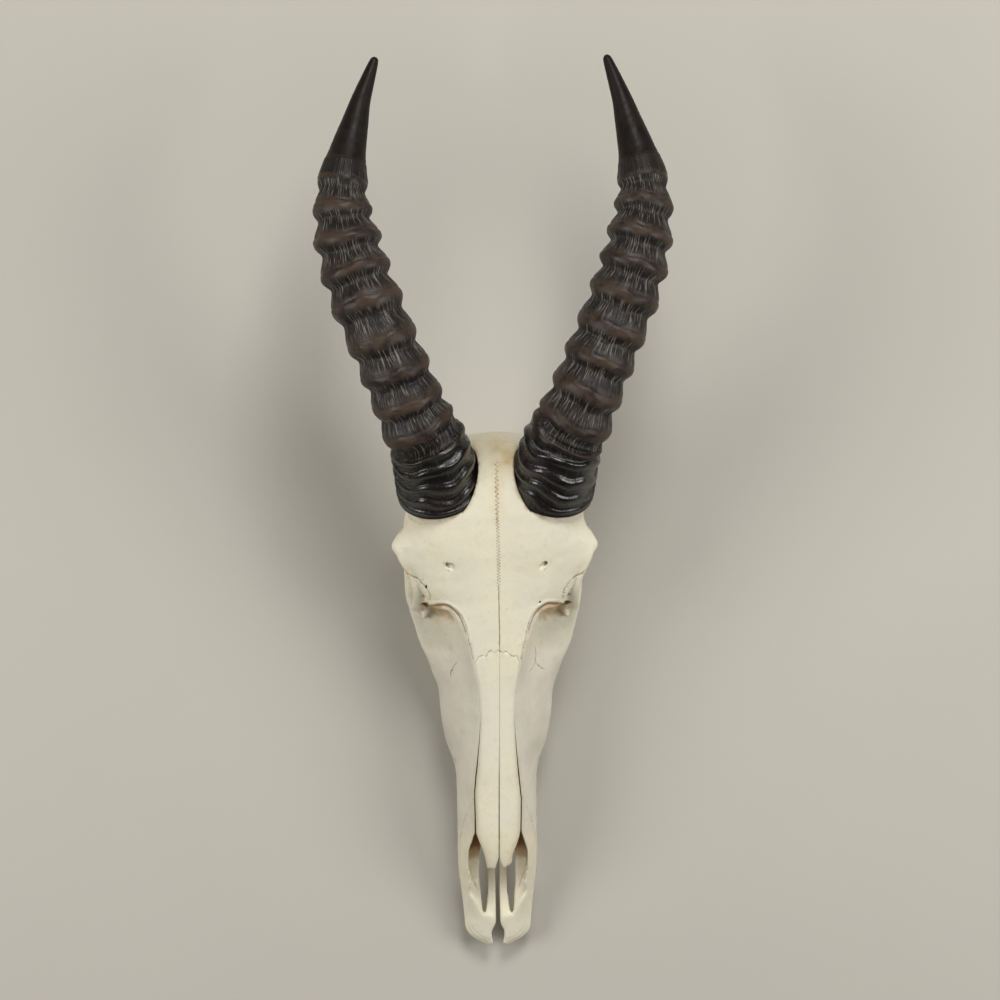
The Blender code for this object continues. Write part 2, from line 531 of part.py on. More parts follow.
def make_nasal(name, side, look):
    """Thin arched plate that follows the roof between its inner and outer edges."""
    bm = bmesh.new()
    rings = []
    for y, inner, outer in NASAL_PLAN:
        across = [inner + (outer - inner) * k / 3 for k in range(4)]
        top = [Vector((side * x, y, roof_height(y, x))) for x in across]
        low = [Vector((side * (x - 0.12 * (x - inner)), y, roof_height(y, x) - NASAL_THICK)) for x in across]
        rings.append(top + low[::-1])
    skin(bm, rings)
    nasal = object_from(bm, "nasal_" + name, helper=False)
    dress(nasal, look)


def make_premaxillae(shared, bed, look):
    bm = bmesh.new()
    loft(bm, FACE[:11], 3, 22)
    both = object_from(bm, "both_premaxillae")
    remesh(both, SMALL_BONE_GRAIN)
    for cutter in shared:
        boolean(both, cutter)
    remesh(both, SMALL_BONE_GRAIN)
    thin_out(both, PREMAXILLA_FACES, 9)
    boolean(both, premaxilla_region("premaxilla_space", 0.0), "INTERSECT")
    boolean(both, bed)
    freeze(both)
    for name, side in SIDES.items():
        bm = bmesh.new()
        plan_block(bm, [(-400, 0.1), (-400, 60), (-150, 60), (-150, 0.1)], -20, 120, side)
        half = object_from(bm, "half_" + name)
        bone = both.copy()
        bone.data = both.data.copy()
        bpy.context.scene.collection.objects.link(bone)
        bone.hide_render = False
        bone.display_type = "TEXTURED"
        bone.name = "premaxilla_" + name
        boolean(bone, half, "INTERSECT")
        freeze(bone)
        keep_largest(bone)
        dress(bone, look)


# Horns

def horn_radii(name):
    """(place, radius) rows from base to tip: each crest has a steep side towards the base."""
    rows = [(0.0, HORN_START)]
    before = 0.0
    for place, crest, groove in HORN_RINGS[name]:
        gap = place - before
        if before > 0:
            rows.append((place - 0.40 * gap, groove))
        if place > HORN_CROWDED:
            rows.append((place - 0.12 * gap, crest - 0.2))
            rows.append((place + 0.14 * gap, crest - 0.3))
        else:
            rows.append((place, crest))
        before = place
    return rows + HORN_TIP


def make_horn(name, side, look):
    spots = [(side * x, y, z) for x, y, z in HORN_LINE]
    rows = horn_radii(name)
    line = [through(spots, place) for place, _ in rows]
    bm = bmesh.new()
    sweep(bm, line, [(radius, radius) for _, radius in rows], HORN_SIDES)
    horn = object_from(bm, "horn_" + name, helper=False)
    dress(horn, look)


# Cheek teeth

def tooth_places():
    """(name, middle y, middle x, half length, half width, lobes) along the left row."""
    (y0, x0), (y1, x1) = TOOTH_ROW_FRONT, TOOTH_ROW_BACK
    length = math.hypot(y1 - y0, x1 - x0)
    places = []
    along = 0.0
    for name, long, half, lobes in TEETH:
        share = (along + long / 2) / length
        places.append((name, y0 + (y1 - y0) * share, x0 + (x1 - x0) * share, long / 2, half, lobes))
        along += long + TOOTH_GAP
    return places


def tooth_trough():
    """Plan outline of the groove that holds the left row, a little wider than the teeth."""
    places = tooth_places()
    outer, inner = [], []
    for _, y, x, half_long, half, _ in places:
        for end in (-1, 1):
            outer.append((y + end * (half_long + TOOTH_GAP / 2), x + half + TOOTH_GAP))
            inner.append((y + end * (half_long + TOOTH_GAP / 2), x - half - TOOTH_GAP))
    return outer + inner[::-1]


def make_tooth(name, side_name, side, place, look):
    """Crown with lobes, flat underneath where it meets the ground and the lower teeth."""
    _, y, x, half_long, half, lobes = place
    plan = MOLAR_PLAN if lobes == 2 else PREMOLAR_PLAN
    rings = []
    for z, long_share, wide_share in ((0.0, 0.99, 0.90), (9.0, 1.0, 1.0), (TOOTH_TOP, 0.96, 0.96)):
        rings.append([Vector((side * (x + v * half * wide_share), y + u * half_long * long_share, z)) for u, v in plan])
    bm = bmesh.new()
    skin(bm, rings)
    tooth = object_from(bm, "upper_" + name + "_" + side_name, helper=False)
    dress(tooth, look)


def main():
    clear_scene()
    bone = material("bleached_bone", BONE_COLOUR, 0.6)
    enamel = material("tooth_enamel", TOOTH_COLOUR, 0.4)
    keratin = material("horn_keratin", HORN_COLOUR, 0.35)
    shared = face_cutters()
    bed = nasal_bed()
    make_cranium(shared, bed, bone)
    make_premaxillae(shared, bed, bone)
    for name, side in SIDES.items():
        make_nasal(name, side, bone)
        make_horn(name, side, keratin)
        for place in tooth_places():
            make_tooth(place[0], name, side, place, enamel)


main()
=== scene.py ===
# Topi skull with its horns and no lower jaw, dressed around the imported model.
# +Y runs from the nose back to the horn tips, +Z is up and +X is the animal's own left.
# Shapes are worked out in millimetres and become metres when a mesh is made.
import math
from functools import partial

import bmesh
import bpy
import numpy as np
from mathutils import Euler, Matrix, Vector


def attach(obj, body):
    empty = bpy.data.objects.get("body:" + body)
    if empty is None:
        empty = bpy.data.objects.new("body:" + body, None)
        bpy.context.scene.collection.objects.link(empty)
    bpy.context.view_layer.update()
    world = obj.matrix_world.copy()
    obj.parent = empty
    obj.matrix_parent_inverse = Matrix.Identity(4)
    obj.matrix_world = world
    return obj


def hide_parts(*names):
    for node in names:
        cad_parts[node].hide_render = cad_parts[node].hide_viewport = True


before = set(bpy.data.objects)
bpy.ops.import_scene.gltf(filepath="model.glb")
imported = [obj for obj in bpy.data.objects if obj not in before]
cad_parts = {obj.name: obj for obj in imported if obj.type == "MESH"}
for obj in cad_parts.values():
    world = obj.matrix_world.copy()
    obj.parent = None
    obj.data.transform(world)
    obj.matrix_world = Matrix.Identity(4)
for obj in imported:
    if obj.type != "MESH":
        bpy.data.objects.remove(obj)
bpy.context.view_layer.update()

mm = 0.001
sides = {"left": 1, "right": -1}


# Curves and surfaces

def curveAt(points, place, closed=False):
    # Catmull-Rom curve: each span is the cubic that meets both of its points with half the
    # step between their neighbours as its slopes.
    points = np.asarray(points, float)
    place = np.asarray(place, float)
    count = len(points)
    if closed:
        span = np.floor(place).astype(int)
        p0, p1, p2, p3 = (points[(span + k) % count] for k in (-1, 0, 1, 2))
    else:
        span = np.clip(np.floor(place).astype(int), 0, count - 2)
        ends = np.concatenate([[2 * points[0] - points[1]], points, [2 * points[-1] - points[-2]]])
        p0, p1, p2, p3 = (ends[span + k] for k in (0, 1, 2, 3))
    t = (place - span).reshape((-1,) + (1,) * (points.ndim - 1))
    return 0.5 * (2 * p1 + (p2 - p0) * t + (2 * p0 - 5 * p1 + 4 * p2 - p3) * t ** 2
                  + (3 * p1 - p0 - 3 * p2 + p3) * t ** 3)


def curveThrough(points, count, closed=False):
    # The same curve read at even places from end to end, or once round.
    spans = len(points) if closed else len(points) - 1
    return curveAt(points, np.linspace(0, spans, count, endpoint=not closed), closed)


def smoothStep(value, low, high):
    # 0 below low, 1 above high and t * t * (3 - 2t) between them.
    t = np.clip((value - low) / (high - low), 0, 1)
    return t * t * (3 - 2 * t)


def unit(vectors):
    return vectors / np.maximum(np.linalg.norm(vectors, axis=-1, keepdims=True), 1e-9)


def gridSurface(grid, closedAlong=False):
    # Points and triangles of a grid whose rows are closed loops: a cell gives two triangles,
    # and an open end is closed by a fan to the middle of its last row.
    rows, around = grid.shape[:2]
    i, j = np.meshgrid(np.arange(rows if closedAlong else rows - 1), np.arange(around), indexing="ij")
    after, beside = (i + 1) % rows, (j + 1) % around
    a, b = i * around + j, i * around + beside
    c, d = after * around + beside, after * around + j
    tris = np.concatenate([np.stack(three, -1).reshape(-1, 3) for three in ((a, b, c), (a, c, d))])
    points = grid.reshape(-1, 3)
    if not closedAlong:
        k = np.arange(around)
        beside = (k + 1) % around
        far = (rows - 1) * around
        near = np.stack([np.full(around, len(points)), beside, k], -1)
        back = np.stack([np.full(around, len(points) + 1), k + far, beside + far], -1)
        points = np.concatenate([points, grid[:1].mean(1), grid[-1:].mean(1)])
        tris = np.concatenate([tris, near, back])
    return points, outward(points, tris)


def outward(points, tris):
    # A closed surface holds a positive volume when its faces point outwards.
    a, b, c = (points[tris[:, k]] for k in range(3))
    return tris if np.einsum("ij,ij->", a, np.cross(b, c)) > 0 else tris[:, ::-1]


def sectionPoints(sections):
    # Half sections given as rows of y, x, z, x, z and so on, as points.
    table = np.array(sections, float)
    x, z = table[:, 1::2], table[:, 2::2]
    return np.stack([x, table[:, :1] + 0 * x, z], -1)


def loftSurface(sections, rows, around):
    # Half sections closed by their mirror images: one Catmull-Rom curve along every point of the
    # sections, then another round each row.
    along = curveThrough(sectionPoints(sections), rows)
    along[..., 0] = np.maximum(along[..., 0], 0)
    loop = np.concatenate([along, along[:, -2:0:-1] * (-1, 1, 1)], 1)
    grid = curveThrough(loop.transpose(1, 0, 2), around, closed=True)
    return gridSurface(grid.transpose(1, 0, 2))


def tubeSurface(path, thick, tall, around=28, up=(0, 0, 1), closed=False):
    # Ellipse carried along a path: centre + across * thick * cos(a) + rise * tall * sin(a).
    path = np.asarray(path, float)
    run = np.roll(path, -1, 0) - np.roll(path, 1, 0) if closed else np.gradient(path, axis=0)
    across = unit(np.cross(unit(run), up))
    rise = np.cross(across, unit(run))
    angle = np.linspace(0, 2 * np.pi, around, endpoint=False)
    wide = np.broadcast_to(thick, len(path))[:, None, None] * np.cos(angle)[:, None]
    high = np.broadcast_to(tall, len(path))[:, None, None] * np.sin(angle)[:, None]
    return gridSurface(path[:, None] + across[:, None] * wide + rise[:, None] * high, closed)


def sizedTube(path, around, up=(0, 0, 1)):
    # Tube along a path of (x, y, z, half thickness, half height).
    return tubeSurface(path[:, :3], path[:, 3], path[:, 4], around, up)


def ballSurface(centre, radii, lean=(0, 0, 0)):
    # Ellipsoid of 24 rows and 32 columns, leaned by angles in degrees about X, Y and Z.
    turn = np.array(Euler([math.radians(a) for a in lean]).to_matrix())
    lift = np.linspace(-np.pi / 2, np.pi / 2, 26)[1:-1, None]
    angle = np.linspace(0, 2 * np.pi, 32, endpoint=False)[None]
    ball = np.stack([np.cos(lift) * np.cos(angle), np.cos(lift) * np.sin(angle),
                     np.sin(lift) + 0 * angle], -1)
    return gridSurface((ball * radii) @ turn.T + centre)


# Meshes and modifiers

def meshObject(name, surfaces):
    # One mesh of several closed surfaces, each given as its points and triangles.
    starts = np.cumsum([0] + [len(points) for points, _ in surfaces])
    points = np.concatenate([points for points, _ in surfaces]) * mm
    tris = np.concatenate([tris + start for (_, tris), start in zip(surfaces, starts)])
    mesh = bpy.data.meshes.new(name)
    mesh.vertices.add(len(points))
    mesh.vertices.foreach_set("co", points.ravel())
    mesh.loops.add(3 * len(tris))
    mesh.loops.foreach_set("vertex_index", tris.ravel())
    mesh.polygons.add(len(tris))
    mesh.polygons.foreach_set("loop_start", np.arange(0, 3 * len(tris), 3))
    mesh.update(calc_edges=True)
    return addObject(name, mesh)


def addObject(name, mesh):
    thing = bpy.data.objects.new(name, mesh)
    bpy.context.scene.collection.objects.link(thing)
    return thing


def prismObject(name, loops):
    # Matching loops of points joined in turn, with a flat face on the first and the last.
    levels, count, _ = loops.shape
    k, row = np.arange(count), np.arange(levels - 1)[:, None] * count
    beside = (k + 1) % count
    faces = np.stack([k + row, beside + row, beside + row + count, k + row + count], -1)
    faces = faces.reshape(-1, 4).tolist() + [k[::-1].tolist(), (k + (levels - 1) * count).tolist()]
    points = loops.reshape(-1, 3)
    mesh = bpy.data.meshes.new(name)
    mesh.from_pydata((points * mm).tolist(), [], faces)
    thing = addObject(name, mesh)
    tris = surfaceOf(thing)[1]
    if outward(points, tris) is not tris:
        mesh.flip_normals()
    return thing


def slabObject(name, outline, low, high, side=1):
    # Upright block over a plan outline of (y, x) pairs.
    y, x = np.asarray(outline, float).T
    return prismObject(name, np.stack([np.stack([side * x, y, 0 * x + z], -1) for z in (low, high)]))


def surfaceOf(thing):
    # Points in millimetres and triangles of an object's mesh.
    mesh = thing.data
    mesh.calc_loop_triangles()
    return pointsOf(mesh), readAll(mesh.loop_triangles, "vertices", 3, np.int32)


def readAll(rows, key, width, kind=float):
    # One property of every element of a mesh as an array with a row for each.
    values = np.empty(width * len(rows), kind)
    rows.foreach_get(key, values)
    return values.reshape(-1, width)


def pointsOf(mesh):
    return readAll(mesh.vertices, "co", 3) / mm


def normalsOf(mesh):
    return readAll(mesh.vertex_normals, "vector", 3)


def edgesOf(mesh):
    # First and second point of every edge.
    return readAll(mesh.edges, "vertices", 2, np.int32).T


def movePoints(thing, points):
    thing.data.vertices.foreach_set("co", (points * mm).ravel())
    thing.data.update()


def freeze(thing):
    # The object's mesh becomes what its modifiers make of it.
    graph = bpy.context.evaluated_depsgraph_get()
    made = bpy.data.meshes.new_from_object(thing.evaluated_get(graph), depsgraph=graph)
    thing.modifiers.clear()
    thing.data = made


def combine(thing, other, operation="DIFFERENCE", solver="EXACT"):
    step = thing.modifiers.new("Combine", "BOOLEAN")
    step.operation = operation
    step.solver = solver
    step.object = other


def rounded(thing, voxel):
    # Grown together in a voxel grid, smoothed, and subdivided once to take fine relief.
    grow = thing.modifiers.new("Grow together", "REMESH")
    grow.mode = "VOXEL"
    grow.voxel_size = voxel * mm
    soften = thing.modifiers.new("Soften", "SMOOTH")
    soften.iterations = skullForm["rounds"]
    soften.factor = 0.5
    finer = thing.modifiers.new("Finer", "SUBSURF")
    finer.levels = finer.render_levels = 1
    freeze(thing)


def thinned(thing, faces):
    thin = thing.modifiers.new("Thin", "DECIMATE")
    thin.ratio = min(1, faces / len(surfaceOf(thing)[1]))
    freeze(thing)


def removeHelpers(*things):
    for thing in things:
        bpy.data.objects.remove(thing, do_unlink=True)


# Bone forms

skullForm = {
    "voxel": 1.5,             # grain that joins the forms of the cranium
    "voxelFront": 1.1,        # the same for the premaxillae
    "rounds": 7,              # smoothing of the joins
    "craniumFaces": 195000,
    "premaxillaFaces": 70000,
    "gap": 0.3,               # air in a suture
    # Half sections of the face, front to back: y, then x and z of the roof's middle, nasal bone,
    # roof edge, upper flank, flank, widest ridge, lower flank, alveolar margin, palate and the
    # palate's middle.
    "face": [
        (-342.7, 0, 18, 3, 18, 5.5, 17.5, 7.6, 17, 9.1, 16, 9.8, 14.5, 9.2, 13, 7, 12, 3.5, 11.5, 0, 11.5),
        (-337, 0, 21, 5, 21, 11, 20.5, 15.8, 19, 18.8, 17, 19.7, 14.5, 18.5, 12, 14, 10.5, 6, 10, 0, 10),
        (-330, 0, 23.5, 7, 23.5, 14.5, 22.5, 20.4, 20.5, 24.2, 18, 25.3, 15, 23.8, 12.3, 18, 10.8, 8, 10.5,
         0, 10.5),
        (-318, 0, 29, 8.5, 28.5, 16, 27, 21.4, 24, 25.3, 20.5, 26.5, 16.5, 25, 13.5, 19, 12, 10, 12, 0, 12),
        (-305, 0, 38, 9, 37, 17, 34, 22.8, 29.5, 26.6, 24, 27.9, 19, 26.6, 15.5, 21, 13.5, 11, 13.5, 0, 13.5),
        (-292, 0, 49, 9, 47.5, 17, 42, 23.5, 35.5, 27.9, 28.5, 29.4, 22.5, 28.2, 18, 23, 16, 12, 16, 0, 16),
        (-279, 0, 59, 9, 57.5, 17, 51, 24, 42.5, 29, 33.5, 30.8, 25.5, 29.5, 20, 24, 17.5, 12, 17.5, 0, 18),
        (-262, 0, 66, 9, 65, 16.8, 60.5, 23.8, 51, 29, 40, 31, 30, 30, 22.5, 25, 18.5, 12, 19, 0, 20),
        (-240, 0, 71, 9.5, 70, 17.8, 66.5, 23.5, 58, 28.8, 45, 31, 33, 30.5, 24, 26.5, 19, 12, 21, 0, 22),
        (-216, 0, 76, 9.5, 75, 18.2, 71.5, 23.5, 63, 28.5, 49, 31, 36.5, 30.8, 25.5, 27, 19, 12, 22, 0, 23.5),
        (-203.5, 0, 79, 8.5, 78.5, 16, 75.5, 21.5, 67, 28.5, 51, 31.8, 37.5, 31.6, 25.5, 28.9, 18, 14, 22,
         0, 24.5),
        (-191, 0, 81.7, 8, 81.3, 15, 78.8, 20.5, 70.5, 28.6, 54, 34.9, 38.5, 35.2, 26, 33, 17, 16, 20, 0, 26),
        (-178, 0, 84.7, 7.5, 84.3, 14.2, 82, 20, 74, 29.6, 58, 39, 41, 39.4, 28, 37, 17, 20, 19, 0, 27.5),
        (-160, 0, 88.8, 7.5, 88.4, 13.6, 86.3, 20, 78.5, 31, 62, 41.6, 46, 42.7, 32, 39.4, 17, 21, 18, 0, 29),
        (-140, 0, 93.5, 8.5, 93.2, 15, 91, 21.5, 81, 32, 65, 43, 51, 44.4, 37, 40.5, 17.5, 22, 18, 0, 30),
        (-127.5, 0, 97, 10, 96.8, 17.5, 95, 23.5, 82.5, 33, 67, 45.5, 54.5, 49, 44, 42, 19, 23, 18.5, 0, 31),
        (-115, 0, 100.3, 11.5, 100.2, 19.5, 98.4, 25, 84, 33.5, 68.5, 48, 58.5, 53.2, 51, 43, 22, 23.5, 19,
         0, 31),
        (-102.5, 0, 103.5, 13, 103.5, 22, 101.5, 27, 86, 34, 71, 50, 61.5, 58.2, 54, 44, 20.5, 24, 18.5,
         0, 31),
        (-84, 0, 108.5, 16, 108.5, 29, 106, 34, 93, 40, 79, 56, 68, 63.3, 60, 47, 25, 25, 20, 0, 33),
        (-71.5, 0, 112, 18, 112, 35, 109, 47, 101, 55, 90, 62, 76, 63.5, 63, 50, 42, 26, 32, 0, 39),
        (-61, 0, 115, 19, 115, 37, 111, 46, 101, 49, 91, 50, 78, 48, 64, 38, 50, 22, 42, 0, 43),
    ],
    "frontRows": 11,          # sections of the face that the premaxillae need
    # Half sections over the orbits and round the brain: the roof's middle, roof, outer roof,
    # rim, under the rim, orbit's ceiling, inner wall, lower side, base, base's middle.
    "braincase": [
        (-77, 0, 110, 16, 110, 33, 107, 48, 98, 47, 92, 37, 88, 26, 77, 21, 60, 14, 50, 0, 48),
        (-63, 0, 114.5, 20, 115, 38, 112.5, 55, 105, 54, 99, 40, 94, 26, 82, 21, 64, 14, 51, 0, 47),
        (-50, 0, 118, 22, 119.5, 42, 117, 60, 109, 59, 104, 42, 98, 26, 85, 21, 65, 14, 51, 0, 47),
        (-38, 0, 122, 24, 124.5, 46, 121, 71, 109, 70, 104, 46, 101, 27, 87, 22, 67, 15, 50, 0, 45),
        (-27, 0, 125.5, 26, 128.5, 49, 124.5, 77.5, 107, 76, 100, 50, 98, 30, 87, 24, 67, 17, 48, 0, 42),
        (-15, 0, 129, 27, 132, 51, 127, 70.5, 108, 67.5, 100, 52, 96, 34, 84, 29, 65, 20, 45, 0, 38),
        (-4, 0, 132, 28, 135, 51, 128, 66, 111, 61, 101, 50, 94, 38, 82, 34, 63, 23, 41, 0, 33),
        (8, 0, 134.5, 26, 136, 45, 126, 55, 110, 51, 98, 46, 89, 40, 78, 37, 60, 26, 37, 0, 28),
        (21, 0, 135.5, 19, 135, 33, 123, 41, 107, 43, 96, 42, 86, 40, 74, 38, 56, 27, 35, 0, 25),
        (34, 0, 134, 15, 132, 25, 121, 33, 107, 38, 95, 40, 84, 39, 70, 35, 52, 25, 34, 0, 25),
        (46, 0, 129, 13, 126, 21, 116, 29, 104, 35, 93, 37, 82, 35, 69, 30, 53, 20, 37, 0, 30),
        (52, 0, 121, 12, 118.5, 19, 110, 26, 101, 32, 93, 34, 85, 32, 77, 26, 68, 15, 60, 0, 57),
        (56, 0, 112, 8, 110, 14, 104, 20, 98, 25, 93, 27, 88, 25, 83, 19, 79, 10, 76, 0, 75),
        (58, 0, 104, 5, 102.5, 9, 99, 13, 96, 16, 93, 17, 90, 16, 87, 12, 85, 6, 84, 0, 84),
    ],
    # Nasal cavity inside the face, laid out as the face is. Its front breaks out upwards.
    "nasalCavity": [
        (-327, 0, 58, 5, 58, 8, 54, 10, 46, 10, 38, 9, 33, 7, 31, 4, 30.5, 0, 30),
        (-319, 0, 60, 7, 60, 12, 55, 15, 48, 16.5, 40, 13.5, 33, 9.5, 29, 5.5, 27.3, 0, 27),
        (-312, 0, 66, 8, 66, 14, 60, 18, 50, 19.5, 41, 17, 33, 12, 27.5, 7, 24.8, 0, 24),
        (-305, 0, 70, 8, 70, 15, 62, 19.5, 51, 20.8, 41, 19, 33, 14, 26.5, 9, 22.5, 0, 21),
        (-292, 0, 76, 9, 76, 17, 66, 20.8, 50, 20.8, 33, 23.6, 26, 22, 21.5, 12, 20, 0, 20),
        (-279, 0, 80, 9, 80, 17, 72, 21.5, 56, 21.6, 38, 25, 31, 25.5, 24.5, 13, 22.5, 0, 22.5),
        (-262, 0, 82, 9, 82, 16, 76, 19.5, 60, 20.5, 46, 24.6, 35.5, 26, 27, 13, 24.5, 0, 24.5),
        (-246, 0, 66, 9, 65, 13.8, 60, 18, 52, 22.5, 42.5, 26, 35, 26, 28, 13, 26, 0, 26),
        (-216, 0, 72.5, 9, 71.5, 15.2, 67.5, 19, 59, 23.5, 46, 26, 37, 25, 30, 13, 28, 0, 28),
        (-191, 0, 78, 7.5, 77.5, 13, 74, 17, 65, 22, 50, 25, 39, 23, 32.5, 12, 30.5, 0, 30.5),
        (-160, 0, 85, 7, 84.5, 12, 80.5, 16, 70, 20, 56, 22, 44, 20, 37, 12, 34.5, 0, 34),
        (-127, 0, 92, 8, 91.5, 13, 87, 17, 74, 20, 60, 21, 48, 19, 41, 12, 38, 0, 37),
        (-101, 0, 92, 6, 91, 10, 86, 13, 75, 15, 62, 15, 51, 14, 45, 9, 43, 0, 42),
    ],
    # Openings in plan on the left side, (y, x).
    "palatineFissure": [(-322, 10.9), (-312, 9.0), (-298, 8.0), (-282, 7.9), (-268, 8.6), (-259, 11.0),
                        (-268, 13.6), (-282, 14.1), (-298, 13.6), (-312, 12.4)],
    "incisiveSlit": [(-362, 3.2), (-346, 3.2), (-341, 4.0), (-335.5, 5.0), (-330, 4.2), (-325, 1.9),
                     (-312, 1.6), (-270, 1.6), (-258, 1.2)],
    "noseOpening": [(-314, 3.0), (-311, 9.0), (-305, 14.5), (-297, 19.2), (-284, 21.9), (-267, 22.4),
                    (-258, 20.0), (-251, 17.8), (-246, 14.0)],
    # Rim of the left orbit as a loop, and the thickness of the bone there.
    "orbitRim": [(73.5, -25, 104, 4.8), (70.8, -37, 106, 4.3), (64, -50, 103.5, 4.0), (60, -62, 97, 4.5),
                 (59, -70.5, 87, 5.0), (60, -74, 74, 5.0), (62.2, -67, 63, 4.8), (63.6, -51, 58, 4.5),
                 (65.5, -33, 60, 4.4), (67, -20, 70, 4.3), (68.5, -16, 88, 4.4)],
    # Left zygomatic arch from the cheek to the braincase: x, y, z, half thickness, half height.
    "arch": [(54, -88, 57, 5, 9), (61.5, -70, 58, 5, 8), (63.8, -50, 55, 3.8, 6.5), (65.8, -33, 54, 3.5, 6),
             (67, -15, 55, 3.4, 6), (65, 0, 57, 3.4, 5.5), (58.5, 13, 59, 4, 5.5), (48, 21, 60, 5, 7),
             (37, 25, 60, 5, 8)],
    # Suture between maxilla and premaxilla from the side, (y, z), and the bars of the palate.
    "premaxillaSuture": [(-219, 95), (-225.5, 68), (-244, 50), (-280, 26), (-301, 13), (-304, 0)],
    "barHalf": 7.4,
    "barBack": -264.0,
    "barTop": 24.0,
}


def mirrorLoop(outline):
    # Plan outline of (y, x) pairs closed by its mirror image across the middle.
    return outline + [(y, -x) for y, x in reversed(outline)]


def faceCutters():
    # Nasal cavity and the openings of the palate and nose, which cranium and premaxillae share.
    cavity = meshObject("nasalCavity", [loftSurface(skullForm["nasalCavity"], 90, 72)])
    nose = slabObject("noseOpening", curveThrough(mirrorLoop(skullForm["noseOpening"]), 90, True), 31, 90)
    fissure = curveThrough(skullForm["palatineFissure"], 60, closed=True)
    holes = [slabObject("fissure", fissure, -10, 32, side) for side in sides.values()]
    slit = slabObject("slit", curveThrough(mirrorLoop(skullForm["incisiveSlit"]), 120, True), -10, 60)
    return [cavity, nose, slit] + holes


def skullCutters():
    # Choanae, brain cavity, foramen magnum and the fossae in front of the orbits.
    choanae, fossae = [], []
    for side in sides.values():
        path = np.array([(7.4, -112, 57), (7.4, -94, 49), (7.2, -78, 38), (7, -60, 27), (7, -44, 18)])
        choanae.append(meshObject("choana", [tubeSurface(curveThrough(path * (side, 1, 1), 24), 5, 12.6)]))
        fossae.append(meshObject("fossa", [ballSurface((side * 45, -83, 88), (15, 11, 14),
                                                       (0, side * 20, side * -20))]))
    brain = meshObject("brain", [ballSurface((0, 18, 68), (29, 31, 24))])
    path = curveThrough([(0, 18, 60), (0, 32, 48), (0, 48, 36), (0, 66, 26)], 20)
    foramen = meshObject("foramen", [tubeSurface(path, np.linspace(12, 15, 20), 12.4, 40)])
    return choanae + fossae + [brain, foramen]


def orbitAndArch(side):
    # The orbit's rim as a closed tube, flat and a little uneven, the zygomatic arch behind it,
    # a tube that fills the rim's front, the cheek's root and the lacrimal knob.
    turn = (side, 1, 1)
    rim = curveThrough(skullForm["orbitRim"], 90, closed=True)
    arch = curveThrough(np.array(skullForm["arch"]) * (side, 1, 1, 1, 1), 70)
    angle = np.linspace(0, 2 * np.pi, 90, endpoint=False)
    edge = rim[:, 3] * (0.66 + 0.1 * np.sin(2 * angle + 1) + 0.06 * np.sin(5 * angle))
    return [tubeSurface(rim[:, :3] * turn, edge, rim[:, 3], 24, (side, 0, 0), closed=True),
            sizedTube(arch, 24),
            tubeSurface((rim[42:68, :3] - (6, 4, 1)) * turn, 6.5, 6.5, 24, (side, 0, 0)),
            ballSurface((side * 38, -70, 64), (16, 12, 20)),
            ballSurface((side * 53.5, -80, 76), (2.8, 5, 3.2), (0, 0, side * 35))]


def hornBase(side):
    # Middle of a horn's base plane and the direction that the horn leaves it in.
    base, second = np.array(hornForm["line"][:2]) * (side, 1, 1)
    return base, unit(second - base)


def hornStump(side):
    # Bone core's stump, square to the horn's base plane.
    base, run = hornBase(side)
    path = base + run * np.array([-40, -16, -3, 3])[:, None]
    sizes = curveThrough([(18, 20), (27, 27), (30.5, 30.5), (30.5, 30.5)], 24)
    return tubeSurface(curveThrough(path, 24), sizes[:, 0], sizes[:, 1], 48)


def skullBase(side):
    # Condyle, bulla, jaw joint, paroccipital process and pterygoid plate of one side.
    turn = (side, 1, 1, 1, 1)
    process = np.array([(36, 27, 52, 7, 7), (36, 29, 36, 5.5, 6), (34, 31, 20, 4, 5), (32, 33, 8, 2.8, 3.2)])
    plate = np.array([(13.5, -82, 44, 2.4, 13), (14, -64, 38, 2.3, 13), (14.5, -48, 38, 2.3, 10),
                      (15, -32, 44, 2.4, 7)])
    return [ballSurface((side * 15.5, 38, 16.6), (9.5, 12, 16.5), (0, side * 12, side * -25)),
            ballSurface((side * 26, 9, 31), (9, 14, 13), (0, side * -10, 0)),
            ballSurface((side * 42, 21, 56), (9, 9, 9)),
            sizedTube(curveThrough(process * turn, 30), 20, (0, 1, 0)),
            sizedTube(curveThrough(plate * turn, 30), 20)]


def skullMiddle():
    # Nuchal crest and the bar of bone along the base of the skull.
    crest = curveThrough([(-38, 25, 56), (-37, 36, 74), (-26, 49, 87), (0, 56, 94), (26, 49, 87),
                          (37, 36, 74), (38, 25, 56)], 80)
    bar = curveThrough([(0, -56, 48, 9, 6), (0, -30, 41, 10, 6), (0, 0, 31, 11, 6.5), (0, 22, 23, 13, 6.5),
                        (0, 34, 19, 14, 6)], 60)
    return [tubeSurface(crest, 3.6, 4.2, 20, (0, 1, 0)), sizedTube(bar, 28)]


def cutForm(name, surface, cutters):
    # A loft with the cutters taken out of it, as points and triangles.
    form = meshObject(name, [surface])
    for cutter in cutters:
        combine(form, cutter)
    freeze(form)
    cut = surfaceOf(form)
    removeHelpers(form)
    return cut


